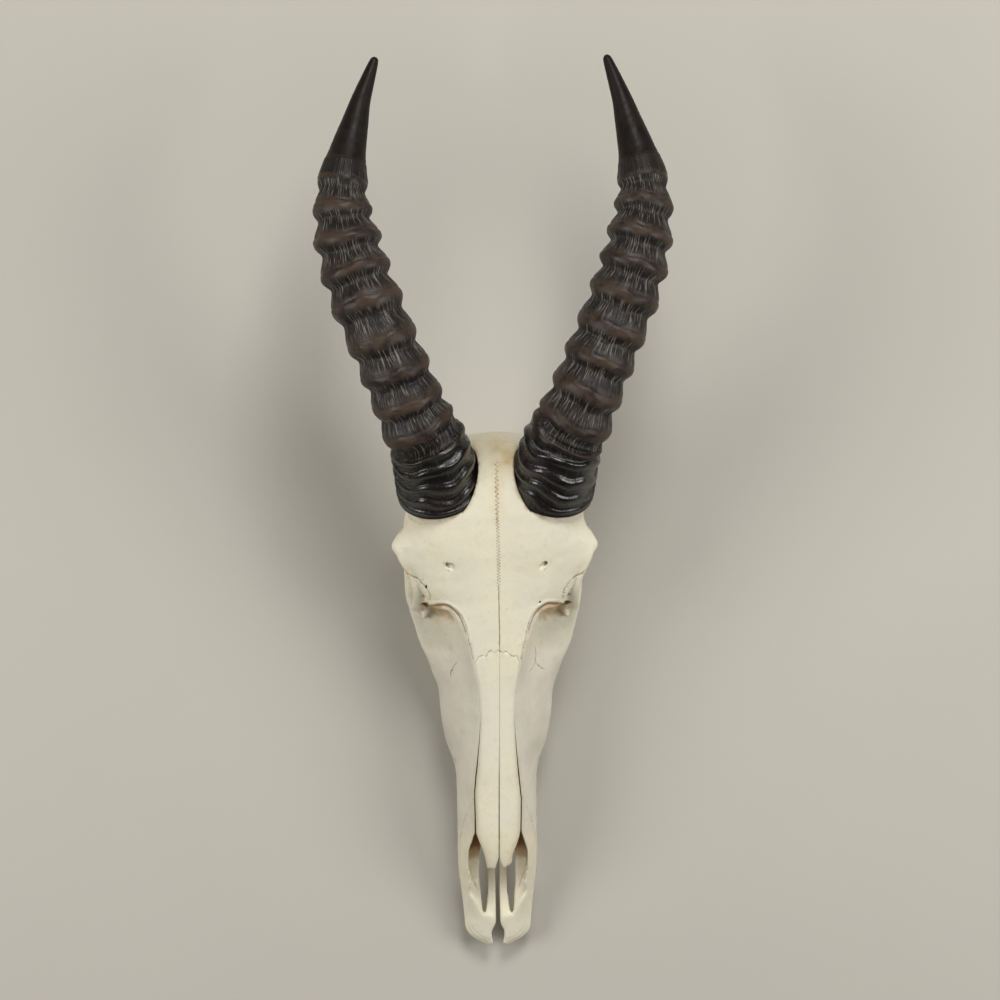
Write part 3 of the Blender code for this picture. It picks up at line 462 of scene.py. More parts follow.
def makeCranium(shared, bed):
    own = skullCutters()
    forms = [cutForm("face", loftSurface(skullForm["face"], 241, 130), shared + own),
             cutForm("braincase", loftSurface(skullForm["braincase"], 131, 120), own)]
    for side in sides.values():
        forms += orbitAndArch(side) + skullBase(side) + [hornStump(side)]
    bone = meshObject("craniumBone", forms + skullMiddle())
    rounded(bone, skullForm["voxel"])
    craniumRelief(bone)
    cutters = [premaxillaRoom("premaxillaCut", skullForm["gap"]), bed, holeCutters()]
    for side in sides.values():
        cutters += [slabObject("trough", toothTrough(), -10, toothForm["top"] + toothForm["gap"], side),
                    hornRoom(side)]
    for cutter in cutters:
        combine(bone, cutter, "DIFFERENCE", "MANIFOLD")
    freeze(bone)
    keepLargest(bone)
    thinned(bone, skullForm["craniumFaces"])
    cutters.remove(bed)
    removeHelpers(*own, *cutters)
    return finishBone(bone, "cranium")


# Seams and openings cut crisply into the joined bone

seamForm = {
    # The seam between left and right bones strays from the middle: (y, x).
    "midline": [(-400, 0.3), (-277, 0.4), (-230, 0.7), (-180, 1.2), (-110, 2.0), (-62, 1.5), (-39, 1.4),
                (-8, 0.7), (32, 0.4), (60, 0.3)],
    # Nasal bones in plan, tip first: (y, inner edge from the seam, outer edge from the middle).
    "nasal": {
        "left": [(-277.5, 3.0, 6.0), (-276, 2.0, 8.6), (-274.5, 1.4, 9.9), (-272, 0.6, 10.6),
                 (-269, 0.1, 10.8), (-266.7, 0.1, 11.1), (-259.6, 0.1, 14.1), (-253.6, 0.1, 16.1),
                 (-249, 0.1, 17.0), (-238, 0.1, 17.4), (-223.6, 0.1, 17.6), (-203.5, 0.1, 15.6),
                 (-184, 0.1, 14.1), (-163, 0.1, 13.1), (-141, 0.1, 14.5), (-124, 0.1, 16.6),
                 (-117, 0.1, 17.2), (-112.6, 0.1, 14.6), (-110, 0.1, 7.0)],
        "right": [(-277.9, 2.4, 8.8), (-276.2, 1.9, 9.1), (-272.5, 0.9, 9.8), (-269.5, 0.1, 10.4),
                  (-265.6, 0.1, 11.3), (-259.1, 0.1, 13.9), (-254.7, 0.1, 15.6), (-250.5, 0.1, 17.0),
                  (-238, 0.1, 17.3), (-218.4, 0.1, 17.7), (-209, 0.1, 16.8), (-199, 0.1, 15.7),
                  (-179, 0.1, 14.0), (-163, 0.1, 13.1), (-148, 0.1, 13.7), (-133, 0.1, 14.9),
                  (-117, 0.1, 17.2), (-113, 0.1, 14.0), (-110.5, 0.1, 6.5)],
    },
    # The cracks beside and between the nasal bones widen towards the nose: (y, gap).
    "outerGap": [(-275, 1.3), (-245, 1.0), (-222, 0.75), (-205, 0.85), (-185, 0.5), (-168, 0.2), (-150, 0.1),
                 (-108, 0.08)],
    "innerGap": [(-275, 0.9), (-245, 0.75), (-215, 0.6), (-195, 0.35), (-170, 0.2), (-108, 0.16)],
    "nasalThick": 3.0,
    "nasalFine": -262,        # the rows are closer together from here to the tip
    "nasalBack": -109,        # where the nasal bones meet the frontals
    "bedFront": -249,         # the cut under the nasal bones runs straight from here to its tip
    "bedTip": -283,
    "bedLow": -251,           # its floor slopes as the roof does from here to the back
    "bedDrop": 17.0,          # how far the cut under the nasal bones goes below the roof
}


def readTable(table, key, column=1):
    # Straight-line reading of one column of a table at an array of keys.
    rows = np.array(sorted(table), float)
    return np.interp(key, rows[:, 0], rows[:, column])


def midlineX(y):
    return readTable(seamForm["midline"], y)


def suturePath(points, step=0.8, swing=0.35):
    # Line through the points with two sine waves across it, as a suture wanders.
    points = np.asarray(points, float)
    length = np.concatenate([[0], np.cumsum(np.linalg.norm(np.diff(points, axis=0), axis=1))])
    along = np.arange(0, length[-1], step)
    line = np.stack([np.interp(along, length, points[:, k]) for k in range(points.shape[1])], -1)
    line[:, 0] += swing * (np.sin(along * 1.9) + 0.7 * np.sin(along * 0.83 + 1.0))
    return line


def roofGrid():
    # Heights of the face's roof over a regular grid: y by rows and x from 0 to 24 mm.
    along = curveThrough(sectionPoints(skullForm["face"])[:, :5], 600)
    loop = np.concatenate([along[:, 1:2] * (-1, 1, 1), along], 1)
    across = curveThrough(loop.transpose(1, 0, 2), 120).transpose(1, 0, 2)
    x = np.linspace(0, 24, 97)
    heights = np.array([np.interp(x, row[:, 0], row[:, 2]) for row in across])
    return across[:, 0, 1], x, heights


def roofHeight(x, y):
    # Bilinear reading of the roof's heights.
    rows, columns, heights = roof
    i = np.clip(np.interp(y, rows, np.arange(len(rows))), 0, len(rows) - 1.001)
    j = np.clip(np.interp(np.abs(x), columns, np.arange(len(columns))), 0, len(columns) - 1.001)
    i0, j0 = i.astype(int), j.astype(int)
    u, v = i - i0, j - j0
    near = heights[i0, j0] * (1 - v) + heights[i0, j0 + 1] * v
    far = heights[i0 + 1, j0] * (1 - v) + heights[i0 + 1, j0 + 1] * v
    return near * (1 - u) + far * u


def nasalEnd(x, y):
    # Jagged ends: the rows near the brow and the tip move along y by waves across the bone.
    brow = smoothStep(y, -119, -109.5) * (0.9 * np.sin(x * 0.9 + 0.6) + 0.5 * np.sin(x * 2.3))
    tip = smoothStep(-y, 268, 277) * (0.35 * np.sin(x * 2.9) + 0.25 * np.sin(x * 5.3 + 1))
    return brow + tip - 0.6


def bedCutter():
    # Room for both nasal bones, from above the roof down into the nasal cavity. Its floor is a
    # plane that runs below the roof.
    front, back, edges = seamForm["bedFront"], seamForm["nasalBack"], []
    for name, side in sides.items():
        y = np.linspace(front, back, 240)
        x = side * (readTable(seamForm["nasal"][name], y, 2) + readTable(seamForm["outerGap"], y))
        x = np.concatenate([x[:1], x])
        y = np.concatenate([[seamForm["bedTip"]], y])
        edges.append(np.column_stack([x, y + nasalEnd(x, y) * (y > -130)]))
    brow = np.linspace(edges[0][-1, 0], edges[1][-1, 0], 80)[1:-1]
    top = np.column_stack([brow, back + nasalEnd(brow, back) + 0.3])
    outline = np.concatenate([edges[0], top, edges[1][::-1]])
    low = seamForm["bedLow"]
    slope = (roofHeight(0, back) - roofHeight(0, low)) / (back - low)
    floor = roofHeight(0, low) - seamForm["bedDrop"] + slope * (outline[:, 1] - low)
    loops = np.stack([np.column_stack([outline, floor]), np.column_stack([outline, floor + 40])])
    return prismObject("nasalBed", loops)


def premaxillaRoom(name, gap):
    # Everything in front of the premaxillary suture. On the floor of the nose the suture bends
    # forward towards the palatine fissures.
    suture = suturePath([(y + gap, z) for y, z in skullForm["premaxillaSuture"]])
    outline = np.concatenate([[(-400, 95)], suture, [(-400, 0)]])
    across = np.array([-60, -27, -25, -23, -20, -16, -13, 0, 13, 16, 20, 23, 25, 27, 60], float)
    bend = np.interp(np.abs(across), [13, 16, 23, 27], [-15, -13, 7, 0])
    moved = smoothStep(outline[:, 0], -399, -300) * smoothStep(outline[:, 1], 34, 24)
    loops = np.stack([np.column_stack([0 * outline[:, 0] + x, outline[:, 0] + shift * moved, outline[:, 1]])
                      for x, shift in zip(across, bend)])
    region = prismObject(name, loops)
    half, back, top = (skullForm[key] + gap for key in ("barHalf", "barBack", "barTop"))
    bars = slabObject(name + "Bars", [(-330, -half), (-330, half), (back, half), (back, -half)], -5, top)
    combine(region, bars, "UNION")
    freeze(region)
    removeHelpers(bars)
    return region


def hornRoom(side):
    # Space of a horn with its gap, as a smooth tube that starts just below the base plane.
    place = np.linspace(0, 5, 30)
    path = curveAt(np.array(hornForm["line"]) * (side, 1, 1), place)
    path[0] -= unit(path[1] - path[0]) * hornForm["gap"]
    radii = np.interp(place, [0, 0.6, 1, 1.5, 2.2, 5], [33.0, 33.0, 32.5, 31.6, 30.6, 28.5])
    return meshObject("hornRoom", [tubeSurface(path, radii, radii, 96)])


# Every foramen and slit: a path with its half width, and whether it is on both sides.
holes = {
    "supraorbital": ([(33.4, -45.6, 121.8), (35.8, -43, 120.4), (38, -40.5, 119.6), (39.7, -38.6, 117.2),
                      (41, -37, 113.6), (42.4, -35.2, 108)], 1.75, True),
    "infraorbital": ([(41, -209, 38), (33.5, -201, 39), (28, -191, 41), (25, -184, 43)], 2.2, True),
    "ear": ([(52, 25, 57), (45, 22, 52), (38, 18, 47), (33, 15, 44)], 3.2, True),
    "optic": ([(40, -45, 78), (28, -38, 76), (14, -30, 74)], 3.0, True),
    "orbitFissure": ([(42, -28, 68), (30, -22, 64), (20, -16, 60)], 3.4, True),
    "ethmoid": ([(40, -52, 90), (28, -50, 88), (20, -48, 86)], 1.3, True),
    "lacrimal": ([(62, -64, 92), (54, -72, 88), (47, -79, 84)], 1.5, True),
    "palatineHole": ([(15, -122, 10), (15, -118, 22), (15, -112, 32)], 1.7, True),
    "ovalHole": ([(24, -12, 28), (22, -10, 40), (20, -8, 50)], 3.0, True),
    "hypoglossal": ([(17, 22, 10), (15.5, 26, 22), (13, 30, 34)], 1.5, True),
    "browPit": ([(33, -71.8, 112), (33, -71.2, 106.5)], 0.7, False),
    "zygomaSlit": ([(-54.5, -57.5, 112), (-53, -59.5, 104), (-52.5, -60, 100)], 1.0, False),
}


def holeCutters():
    # Tubes for the small openings, slightly flattened, mirrored where both sides have them.
    cutters = []
    for name, (path, half, both) in holes.items():
        fine = curveThrough(path, 16) if len(path) > 2 else np.linspace(path[0], path[-1], 6)
        for side in sides.values() if both else (1,):
            cutters.append(tubeSurface(fine * (side, 1, 1), half, 1.3 * half, 20, (0.3, 0.9, 0.2)))
    return meshObject("smallHoles", cutters)


# Nasal bones and premaxillae

def nasalSurface(name, side):
    # Curved plate: across it u runs from the seam to the outer edge, along it y runs from the
    # tip to the brow. The top is the roof's height with rounded edges and the underside lies
    # a bone's thickness below.
    table = seamForm["nasal"][name]
    bend, back = seamForm["nasalFine"], seamForm["nasalBack"]
    y = np.concatenate([np.linspace(table[0][0], bend, 60, endpoint=False), np.linspace(bend, back, 270)])
    u = 0.5 - 0.5 * np.cos(np.linspace(0, np.pi, 26))
    seam = midlineX(y) + side * (readTable(seamForm["innerGap"], y) / 2 + readTable(table, y, 1) - 0.1)
    outer = side * readTable(table, y, 2)
    x = seam[:, None] + (outer - seam)[:, None] * u
    wide = np.abs(outer - seam)[:, None]
    y = y[:, None] + nasalEnd(x, y[:, None])
    edge = 0.55 * np.exp(-(u * wide / 0.6) ** 2) + 0.5 * np.exp(-((1 - u) * wide / 0.7) ** 2)
    edge *= 0.2 + 0.8 * smoothStep(-y, 150, 215)
    crown = 0.35 * np.sin(np.pi * u) + 0.12 * np.sin(y * 0.11 + side) * np.sin(np.pi * u) ** 2
    top = roofHeight(x, y) - 0.12 - edge + crown
    thick = seamForm["nasalThick"] * (0.62 + 0.32 * np.sin(np.pi * u))
    thick = thick * (0.55 + 0.45 * smoothStep(y, -279, -262))
    over = np.stack([x, y, top], -1)
    under = np.stack([x, y, roofHeight(x, y) - 0.25 - thick - 0.8], -1)
    under[..., 0] += side * 0.25 * (0.5 - u)
    return gridSurface(np.concatenate([over, under[:, ::-1]], 1))


def makeNasals():
    bones = []
    for name, side in sides.items():
        bone = meshObject("nasalBone" + name.title(), [nasalSurface(name, side)])
        bones.append(finishBone(bone, "nasal_" + name))
    return bones


def makePremaxillae(shared, bed):
    front = skullForm["face"][:skullForm["frontRows"]]
    both = meshObject("premaxillae", [cutForm("muzzle", loftSurface(front, 150, 130), shared)])
    rounded(both, skullForm["voxelFront"])
    muzzleRelief(both)
    room = premaxillaRoom("premaxillaSpace", 0.0)
    combine(both, room, "INTERSECT", "MANIFOLD")
    combine(both, bed, "DIFFERENCE", "MANIFOLD")
    freeze(both)
    bones = []
    for name, side in sides.items():
        half = slabObject("half", [(-400, 0.1), (-400, 60), (-150, 60), (-150, 0.1)], -20, 120, side)
        bone = addObject("premaxillaBone" + name.title(), both.data.copy())
        combine(bone, half, "INTERSECT", "MANIFOLD")
        freeze(bone)
        keepLargest(bone)
        thinned(bone, skullForm["premaxillaFaces"])
        removeHelpers(half)
        bones.append(finishBone(bone, "premaxilla_" + name))
    removeHelpers(both, room)
    return bones


def keepLargest(thing):
    # Every point takes the lowest label that reaches it along an edge, until nothing changes;
    # the label that most points carry is the bone, and chips from a cut are dropped.
    mesh = thing.data
    a, b = edgesOf(mesh)
    label = np.arange(len(mesh.vertices))
    while True:
        before = label.copy()
        low = np.minimum(label[a], label[b])
        np.minimum.at(label, a, low)
        np.minimum.at(label, b, low)
        label = label[label]
        if np.array_equal(label, before):
            break
    values, counts = np.unique(label, return_counts=True)
    if len(values) == 1:
        return
    chips = np.flatnonzero(label != values[np.argmax(counts)])
    work = bmesh.new()
    work.from_mesh(mesh)
    work.verts.ensure_lookup_table()
    bmesh.ops.delete(work, geom=[work.verts[k] for k in chips], context="VERTS")
    work.to_mesh(mesh)
    work.free()


# Horns

hornForm = {
    "gap": 0.4,               # air between the sheath and the bone under it
    "around": 252,
    "end": 17,                # place of the tip on the line
    "start": 32.5,            # radius at the base plane
    "crowded": 2.5,           # rings below this place are low ledges
    "bandEnd": 11.65,         # where the fibrous band above the last ring ends
    # Centre line of the left horn, base to tip.
    "line": [(42.5, 15, 113), (47.5, 38, 134.5), (52, 53, 143), (59.3, 66.7, 149.5), (67.8, 86.7, 155),
             (76.7, 108.8, 158.6), (86.1, 131.6, 161.4), (96.3, 157.4, 162), (104.2, 180.8, 160.4),
             (109.7, 203.5, 157.5), (113.1, 226.9, 153), (112.6, 248.8, 148), (108.8, 269.6, 144),
             (102.9, 292.5, 140.5), (98.9, 307.8, 138.5), (93.8, 323, 137), (88.5, 338, 136),
             (87.1, 342.1, 136)],
    # Rings, base first: place on the line, crest radius, radius of the groove under it.
    "rings": {
        "left": [(0.22, 32.7, 32.2), (0.60, 32.4, 31.2), (1.00, 31.8, 30.2), (1.55, 30.8, 28.9),
                 (2.20, 29.9, 28.0), (3.08, 29.6, 26.0), (4.15, 28.2, 24.1), (5.18, 27.8, 23.3),
                 (6.13, 27.0, 22.7), (7.06, 27.1, 22.3), (8.05, 26.6, 21.4), (9.03, 25.5, 20.7),
                 (10.05, 22.7, 19.0), (11.00, 18.9, 16.9)],
        "right": [(0.18, 32.7, 32.2), (0.52, 32.3, 31.1), (0.92, 31.6, 29.9), (1.38, 30.6, 28.8),
                  (1.85, 29.7, 27.8), (2.92, 28.9, 25.8), (3.85, 27.5, 24.0), (4.82, 27.4, 23.1),
                  (5.87, 26.8, 22.6), (6.94, 27.4, 22.6), (7.95, 26.9, 21.6), (8.97, 26.1, 21.0),
                  (9.95, 22.6, 19.2), (11.00, 18.8, 17.0)],
    },
    "tip": [(11.4, 16.8), (12.0, 13.8), (13.0, 10.0), (14.0, 7.7), (15.0, 5.8), (16.0, 3.6), (16.7, 2.4),
            (17.0, 1.2)],
    # One ring from crest to crest: share of the way to the tip, and 1 on a crest to 0 in the
    # groove. The roll ends in a crease, the hollow slopes away, and the next ring overhangs it.
    "ringShape": [(0, 1), (0.05, 0.99), (0.09, 0.94), (0.12, 0.85), (0.14, 0.79), (0.17, 0.8), (0.22, 0.76),
                  (0.32, 0.58), (0.42, 0.34), (0.52, 0.11), (0.58, 0.01), (0.62, 0), (0.66, 0.07),
                  (0.72, 0.3), (0.79, 0.61), (0.85, 0.82), (0.9, 0.93), (0.95, 0.985), (1, 1)],
    "ledgeShape": [(0, 1), (0.1, 0.97), (0.17, 0.45), (0.22, 0.12), (0.35, 0), (0.6, 0.12), (0.85, 0.7),
                   (1, 1)],
    "ringRows": [0, 0.04, 0.075, 0.1, 0.12, 0.14, 0.165, 0.21, 0.28, 0.35, 0.42, 0.49, 0.55, 0.6, 0.64,
                 0.68, 0.73, 0.78, 0.83, 0.875, 0.915, 0.955],
}


def hornSurface(name, side):
    # Rings carried along the curved line: radius = groove + (crest - groove) * shape(t), where
    # t is the share of the way from one crest to the next. Crests lean and waver round the horn.
    rings, end, bandEnd = np.array(hornForm["rings"][name]), hornForm["end"], hornForm["bandEnd"]
    marks = np.concatenate([[0], rings[:, 0]])
    crest = np.concatenate([[hornForm["start"]], rings[:, 1]])
    groove = np.concatenate([[hornForm["start"] - 0.4], rings[:, 2]])
    spans = np.diff(marks)[:, None] * np.array(hornForm["ringRows"]) + marks[:-1, None]
    place = np.concatenate([spans.ravel(), np.linspace(marks[-1], end, 80)])[:, None]
    angle = np.linspace(0, 2 * np.pi, hornForm["around"], endpoint=False)[None]
    low = smoothStep(place, 3.2, 1.5)
    waver = 0.03 * np.sin(2 * angle + 1.3 * place + side) + 0.022 * np.sin(5 * angle + 2.1 * place)
    waver += 0.012 * np.sin(11 * angle + 1.7 * place) + 0.05 * np.cos(angle - 0.9) * (1 - low)
    waver += low * (0.17 * np.sin(angle + 0.5 + side * 0.9) + 0.09 * np.sin(2 * angle + 2.0 * place)
                    + 0.04 * np.sin(5 * angle + 1.3 * place))
    q = np.clip(place + waver * smoothStep(place, 0.0, 0.4) * smoothStep(place, 11.8, 10.6), 0, end)
    k = np.clip(np.searchsorted(marks, q, side="right") - 1, 0, len(marks) - 2)
    t = np.clip((q - marks[k]) / (marks[k + 1] - marks[k]), 0, 1)
    ring = np.interp(t, *zip(*hornForm["ringShape"]))
    ledge = np.interp(t, *zip(*hornForm["ledgeShape"]))
    shape = np.where(q < hornForm["crowded"], ledge, ring)
    here = crest[k] + (crest[k + 1] - crest[k]) * t
    radius = groove[k + 1] + (here - groove[k + 1]) * shape
    tip = np.array([(marks[-1], crest[-1])] + hornForm["tip"])
    taper = curveAt(tip[:, 1:], np.interp(q.ravel(), tip[:, 0], np.arange(len(tip)))).reshape(q.shape)
    radius = np.where(q > marks[-1], taper, radius)
    band = (q > marks[-1]) * smoothStep(q, bandEnd + 0.06, bandEnd - 0.02)
    shape = shape - 0.55 * band
    hollow = (1 - shape) * (q < bandEnd)
    flutes = np.sin(47 * angle + 2.2 * np.sin(3 * angle + 1.9 * k)) * np.sin(23 * angle + 1.7 * k)
    lumps = 0.4 * np.sin(4 * angle + 5 * q) + 0.45 * np.sin(3 * angle + 4 * q) * np.sin(7 * angle - 3 * q)
    radius += 0.32 * hollow * flutes * smoothStep(q, 1.2, 2.6) + 0.35 * band
    radius += 0.25 * np.sin(2 * angle + 1.1 * q) * smoothStep(q, 0, 2) * smoothStep(q, end, 11)
    radius += 0.16 * np.sin(9 * angle + 3.1 * k) * smoothStep(q, 2, 3) * smoothStep(q, 12, 11)
    radius += low * lumps * (0.3 * smoothStep(place, 0, 0.5) + 0.7 * smoothStep(place, 0.9, 1.8))
    fine = np.linspace(0, end, 900)
    line = curveAt(np.array(hornForm["line"]) * (side, 1, 1), fine)
    path, run = (np.stack([np.interp(place[:, 0], fine, values[:, c]) for c in range(3)], -1)
                 for values in (line, np.gradient(line, axis=0)))
    run = unit(run)
    across = unit(np.cross(run, (0, 0, 1)))
    rise = np.cross(across, run)
    grid = path[:, None] + radius[..., None] * (across[:, None] * np.cos(angle)[..., None]
                                                + rise[:, None] * np.sin(angle)[..., None])
    under = path[0] + (grid[0] - path[0]) * np.array([0.8, 0.985])[:, None, None]
    under[1] += run[0] * 0.05
    grid[0] += run[0] * 0.5
    length = np.concatenate([[0], np.cumsum(np.linalg.norm(np.diff(path, axis=0), axis=1))])[:, None]
    flow = np.stack([22 * np.cos(angle) + 0 * place, 22 * np.sin(angle) + 0 * place, length + 0 * angle], -1)
    return (gridSurface(np.concatenate([under, grid])), np.concatenate([flow[[0, 0]], flow]),
            np.concatenate([shape[[0, 0]], shape]), np.concatenate([q[[0, 0]], q]))


def makeHorns():
    horns = []
    for name, side in sides.items():
        surface, flow, shape, place = hornSurface(name, side)
        horn = meshObject("hornSheath" + name.title(), [surface])
        ends = [0, -1]
        setAttribute(horn, "flow", np.concatenate([flow.reshape(-1, 3), flow[ends].mean(1)]))
        for field, values in (("crest", shape), ("along", place)):
            setAttribute(horn, field, np.concatenate([values.ravel(), values[ends].mean(1)]))
        smoothShade(horn)
        horns.append(carried(horn, "horn_" + name))
    return horns


# Cheek teeth

toothForm = {
    # Front to back: node name, length along the row, half width, lobes.
    "row": [("premolar_2", 9.5, 4.8, 1), ("premolar_3", 12.0, 6.2, 1), ("premolar_4", 12.0, 7.2, 1),
            ("molar_1", 16.0, 8.2, 2), ("molar_2", 18.5, 8.8, 2), ("molar_3", 18.5, 8.3, 2)],
    "front": (-174.0, 26.5),  # (y, x) of the left row's two ends
    "back": (-85.0, 31.5),
    "top": 21.0,              # height of a tooth's hidden end
    "gap": 0.35,
    "rows": (22, 20, 3),      # over the chewing face, up the crown, over the hidden end
    # Plan of a crown: (along the row, across it, cheek side positive), as shares of its halves.
    "premolarPlan": [(-0.93, 0.95), (-0.62, 0.76), (-0.05, 0.98), (0.5, 0.76), (0.93, 0.95), (1.0, 0.1),
                     (0.72, -0.72), (0.0, -1.0), (-0.72, -0.72), (-1.0, 0.1)],
    "molarPlan": [(-0.95, 1.0), (-0.76, 0.76), (-0.48, 0.86), (-0.2, 0.74), (0.0, 1.0), (0.2, 0.74),
                  (0.48, 0.86), (0.76, 0.76), (0.95, 1.0), (1.0, 0.0), (0.84, -0.66), (0.5, -1.0),
                  (0.18, -0.8), (0.0, -0.5), (-0.18, -0.8), (-0.5, -1.0), (-0.84, -0.66), (-1.0, 0.0)],
    "edgeWave": 1.3,          # how far the chewing edge rises between its cusps
}


def toothPlaces():
    # Name, middle y, middle x, half length, half width and lobes along the left row.
    (y0, x0), (y1, x1) = toothForm["front"], toothForm["back"]
    length = math.hypot(y1 - y0, x1 - x0)
    places, along = [], 0.0
    for name, long, half, lobes in toothForm["row"]:
        share = (along + long / 2) / length
        places.append((name, y0 + (y1 - y0) * share, x0 + (x1 - x0) * share, long / 2, half, lobes))
        along += long + toothForm["gap"]
    return places


def toothTrough():
    # Groove that holds the left row in plan, stepped a little wider than each tooth.
    outer, inner = [], []
    for _, y, x, halfLong, half, _ in toothPlaces():
        for end in (-1, 1):
            reach = y + end * (halfLong + toothForm["gap"] / 2)
            outer.append((reach, x + half + toothForm["gap"]))
            inner.append((reach, x - half - toothForm["gap"]))
    return outer + inner[::-1]


def toothSurface(side, place):
    # Rings over a plan outline: inwards across the chewing face, up the crown and in again at
    # the hidden end. Enamel stands up round the rim and round a crescent in each lobe.
    _, y, x, halfLong, half, lobes = place
    plan = curveThrough(toothForm["molarPlan" if lobes == 2 else "premolarPlan"], 84, closed=True)
    top, (face, wall, lid) = toothForm["top"], toothForm["rows"]
    share = np.concatenate([np.linspace(0.06, 1, face), np.ones(wall), np.linspace(0.9, 0.1, lid)])[:, None]
    level = np.concatenate([np.zeros(face), np.linspace(0.5, top, wall), np.full(lid, top)])
    chewing = (np.arange(len(level)) < face)[:, None]
    long = np.interp(level, [0, 9, 21], [0.975, 0.985, 0.96])[:, None]
    wide = np.interp(level, [0, 4, 9, 21], [0.90, 0.96, 0.985, 0.95])[:, None]
    u, v = plan[:, 0] * share, plan[:, 1] * share
    lobeU = np.abs(u) - 0.5 if lobes == 2 else u * 0.5
    crescent = np.hypot(lobeU / 0.27, (v - 0.08) / 0.56)
    ridge = np.exp(-((crescent - 1) / 0.2) ** 2)
    worn = 1 - np.maximum(ridge, smoothStep(share, 0.84, 0.95))
    pit = 1.6 * smoothStep(crescent, 0.85, 0.35)
    relief = (0.15 + 0.75 * worn + pit) * chewing
    ribs = 1 + 0.012 * np.sin(level * 1.7)[:, None] * (level > 0)[:, None]
    turns = 1.0 if lobes == 2 else 0.5
    lift = toothForm["edgeWave"] * np.cos(np.pi * turns * plan[:, 0] + np.pi * (turns - 1)) ** 2
    lift = lift * np.exp(-level / 3)[:, None] * smoothStep(share, 0.45, 1.0)
    grid = np.stack([side * (x + v * half * wide * ribs), y + u * halfLong * long,
                     level[:, None] + relief + lift], -1)
    return gridSurface(grid), (smoothStep(crescent, 1.0, 0.5) + 0.6 * worn) * chewing


def makeTeeth():
    teeth = []
    for sideName, side in sides.items():
        for place in toothPlaces():
            surface, dark = toothSurface(side, place)
            crown = meshObject("crown" + place[0].title().replace("_", "") + sideName.title(), [surface])
            setAttribute(crown, "dark", np.concatenate([dark.ravel(), dark[[0, -1]].mean(1)]))
            smoothShade(crown)
            teeth.append(carried(crown, "upper_" + place[0] + "_" + sideName))
    return teeth


# Pieces on the frame

def setAttribute(thing, name, values):
    kind = "FLOAT_VECTOR" if values.ndim == 2 else "FLOAT"
    layer = thing.data.attributes.new(name, kind, "POINT")
    layer.data.foreach_set("vector" if values.ndim == 2 else "value", values.astype(np.float32).ravel())


def smoothShade(thing):
    thing.data.polygons.foreach_set("use_smooth", np.ones(len(thing.data.polygons), bool))
    thing.data.update()


def carried(thing, node):
    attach(thing, "root")
    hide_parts(node)
    return thing


# Relief, stains and painted shade of the bone

sutures = {
    # A path on the left side, the sides that show it, its swing, depth and how dark it is.
    "lacrimal": ([(31, -75.5, 108.4), (26.3, -81.5, 107.6), (22.9, -90.5, 105.6), (20.7, -103, 101.8),
                  (18.4, -115, 98.6)], (1, -1), 0.2, 0.3, 0.75),
    "zygomaFront": ([(71, -45, 104), (66, -50, 106), (60, -53.5, 107.8), (54.5, -58.5, 108), (51, -64, 106),
                     (50.5, -69, 102)], (1, -1), 0.9, 0.4, 0.8),
    "cheek": ([(50, -112, 50), (49, -104, 42), (47, -95, 30)], (1, -1), 0.5, 0.25, 0.5),
    "crackRight": ([(30.6, -107, 74.6), (30.9, -113, 72.5), (30.6, -118.5, 72), (33.4, -122, 68),
                    (36.2, -124.5, 64)], (1,), 0.3, 0.25, 0.8),
    "crackRightArm": ([(30.6, -117, 72.2), (29.2, -121.5, 74.5), (26, -125.5, 79)], (1,), 0.3, 0.2, 0.7),
    "crackLeft": ([(31.3, -118.7, 71.1), (34.5, -124.3, 66.4), (35.5, -129, 64.5)], (-1,), 0.3, 0.25, 0.8),
    "archJoint": ([(68, -42, 60), (68.8, -30, 56), (68.5, -16, 51)], (1, -1), 0.5, 0.35, 0.9),
    "squamosal": ([(40, -8, 66), (45, 2, 80), (47, 14, 92), (43, 30, 92), (38, 40, 84)], (1, -1), 0.5, 0.3,
                  0.8),
    "coronalSide": ([(51, 4, 110), (46, 2, 94), (38, -4, 80), (34, -10, 70)], (1, -1), 0.5, 0.3, 0.7),
    "palateMiddle": ([(0.3, -255, 22), (0.5, -200, 25), (0.8, -150, 29.5), (1, -110, 31), (1, -92, 33)],
                     (1,), 0.3, 0.3, 0.9),
    "palateAcross": ([(0, -129, 31), (10, -126, 27), (17, -118, 20), (22, -106, 18)], (1, -1), 0.4, 0.3, 0.9),
    "premaxillaEdge": ([(17.5, -223, 68.5), (21.5, -233, 60), (27, -244.2, 49.6), (30, -256, 41)], (1, -1),
                       0.2, 0.1, 0.6),
    "baseAcross": ([(0, -10, 27), (10, -10, 29)], (1, -1), 0.3, 0.3, 0.8),
}

# Lip of the ledge over the fossa, the shallow groove that runs on from the brow foramen, the edge
# of the nose's floor where it's worn round, and the rim of the muzzle's lip.
fossaLip = [(56, -73.5, 92), (48.4, -71.5, 102.5), (39.1, -70.8, 107.8), (31.5, -75, 108.8),
            (26.3, -81.5, 107.8), (22.9, -90.5, 105.6), (20.8, -101, 102.6)]
browGroove = [(36.5, -46.5, 120), (35.5, -54, 117.6), (33.5, -64, 113.5)]
floorEdge = [(21.5, -299, 0), (19, -306, 0), (15, -313, 0), (11, -317.5, 0), (5, -320, 0)]
lipRim = [(27.6, -300), (26.2, -312), (25.2, -322), (22.2, -331), (15.6, -337.6), (8.5, -341)]


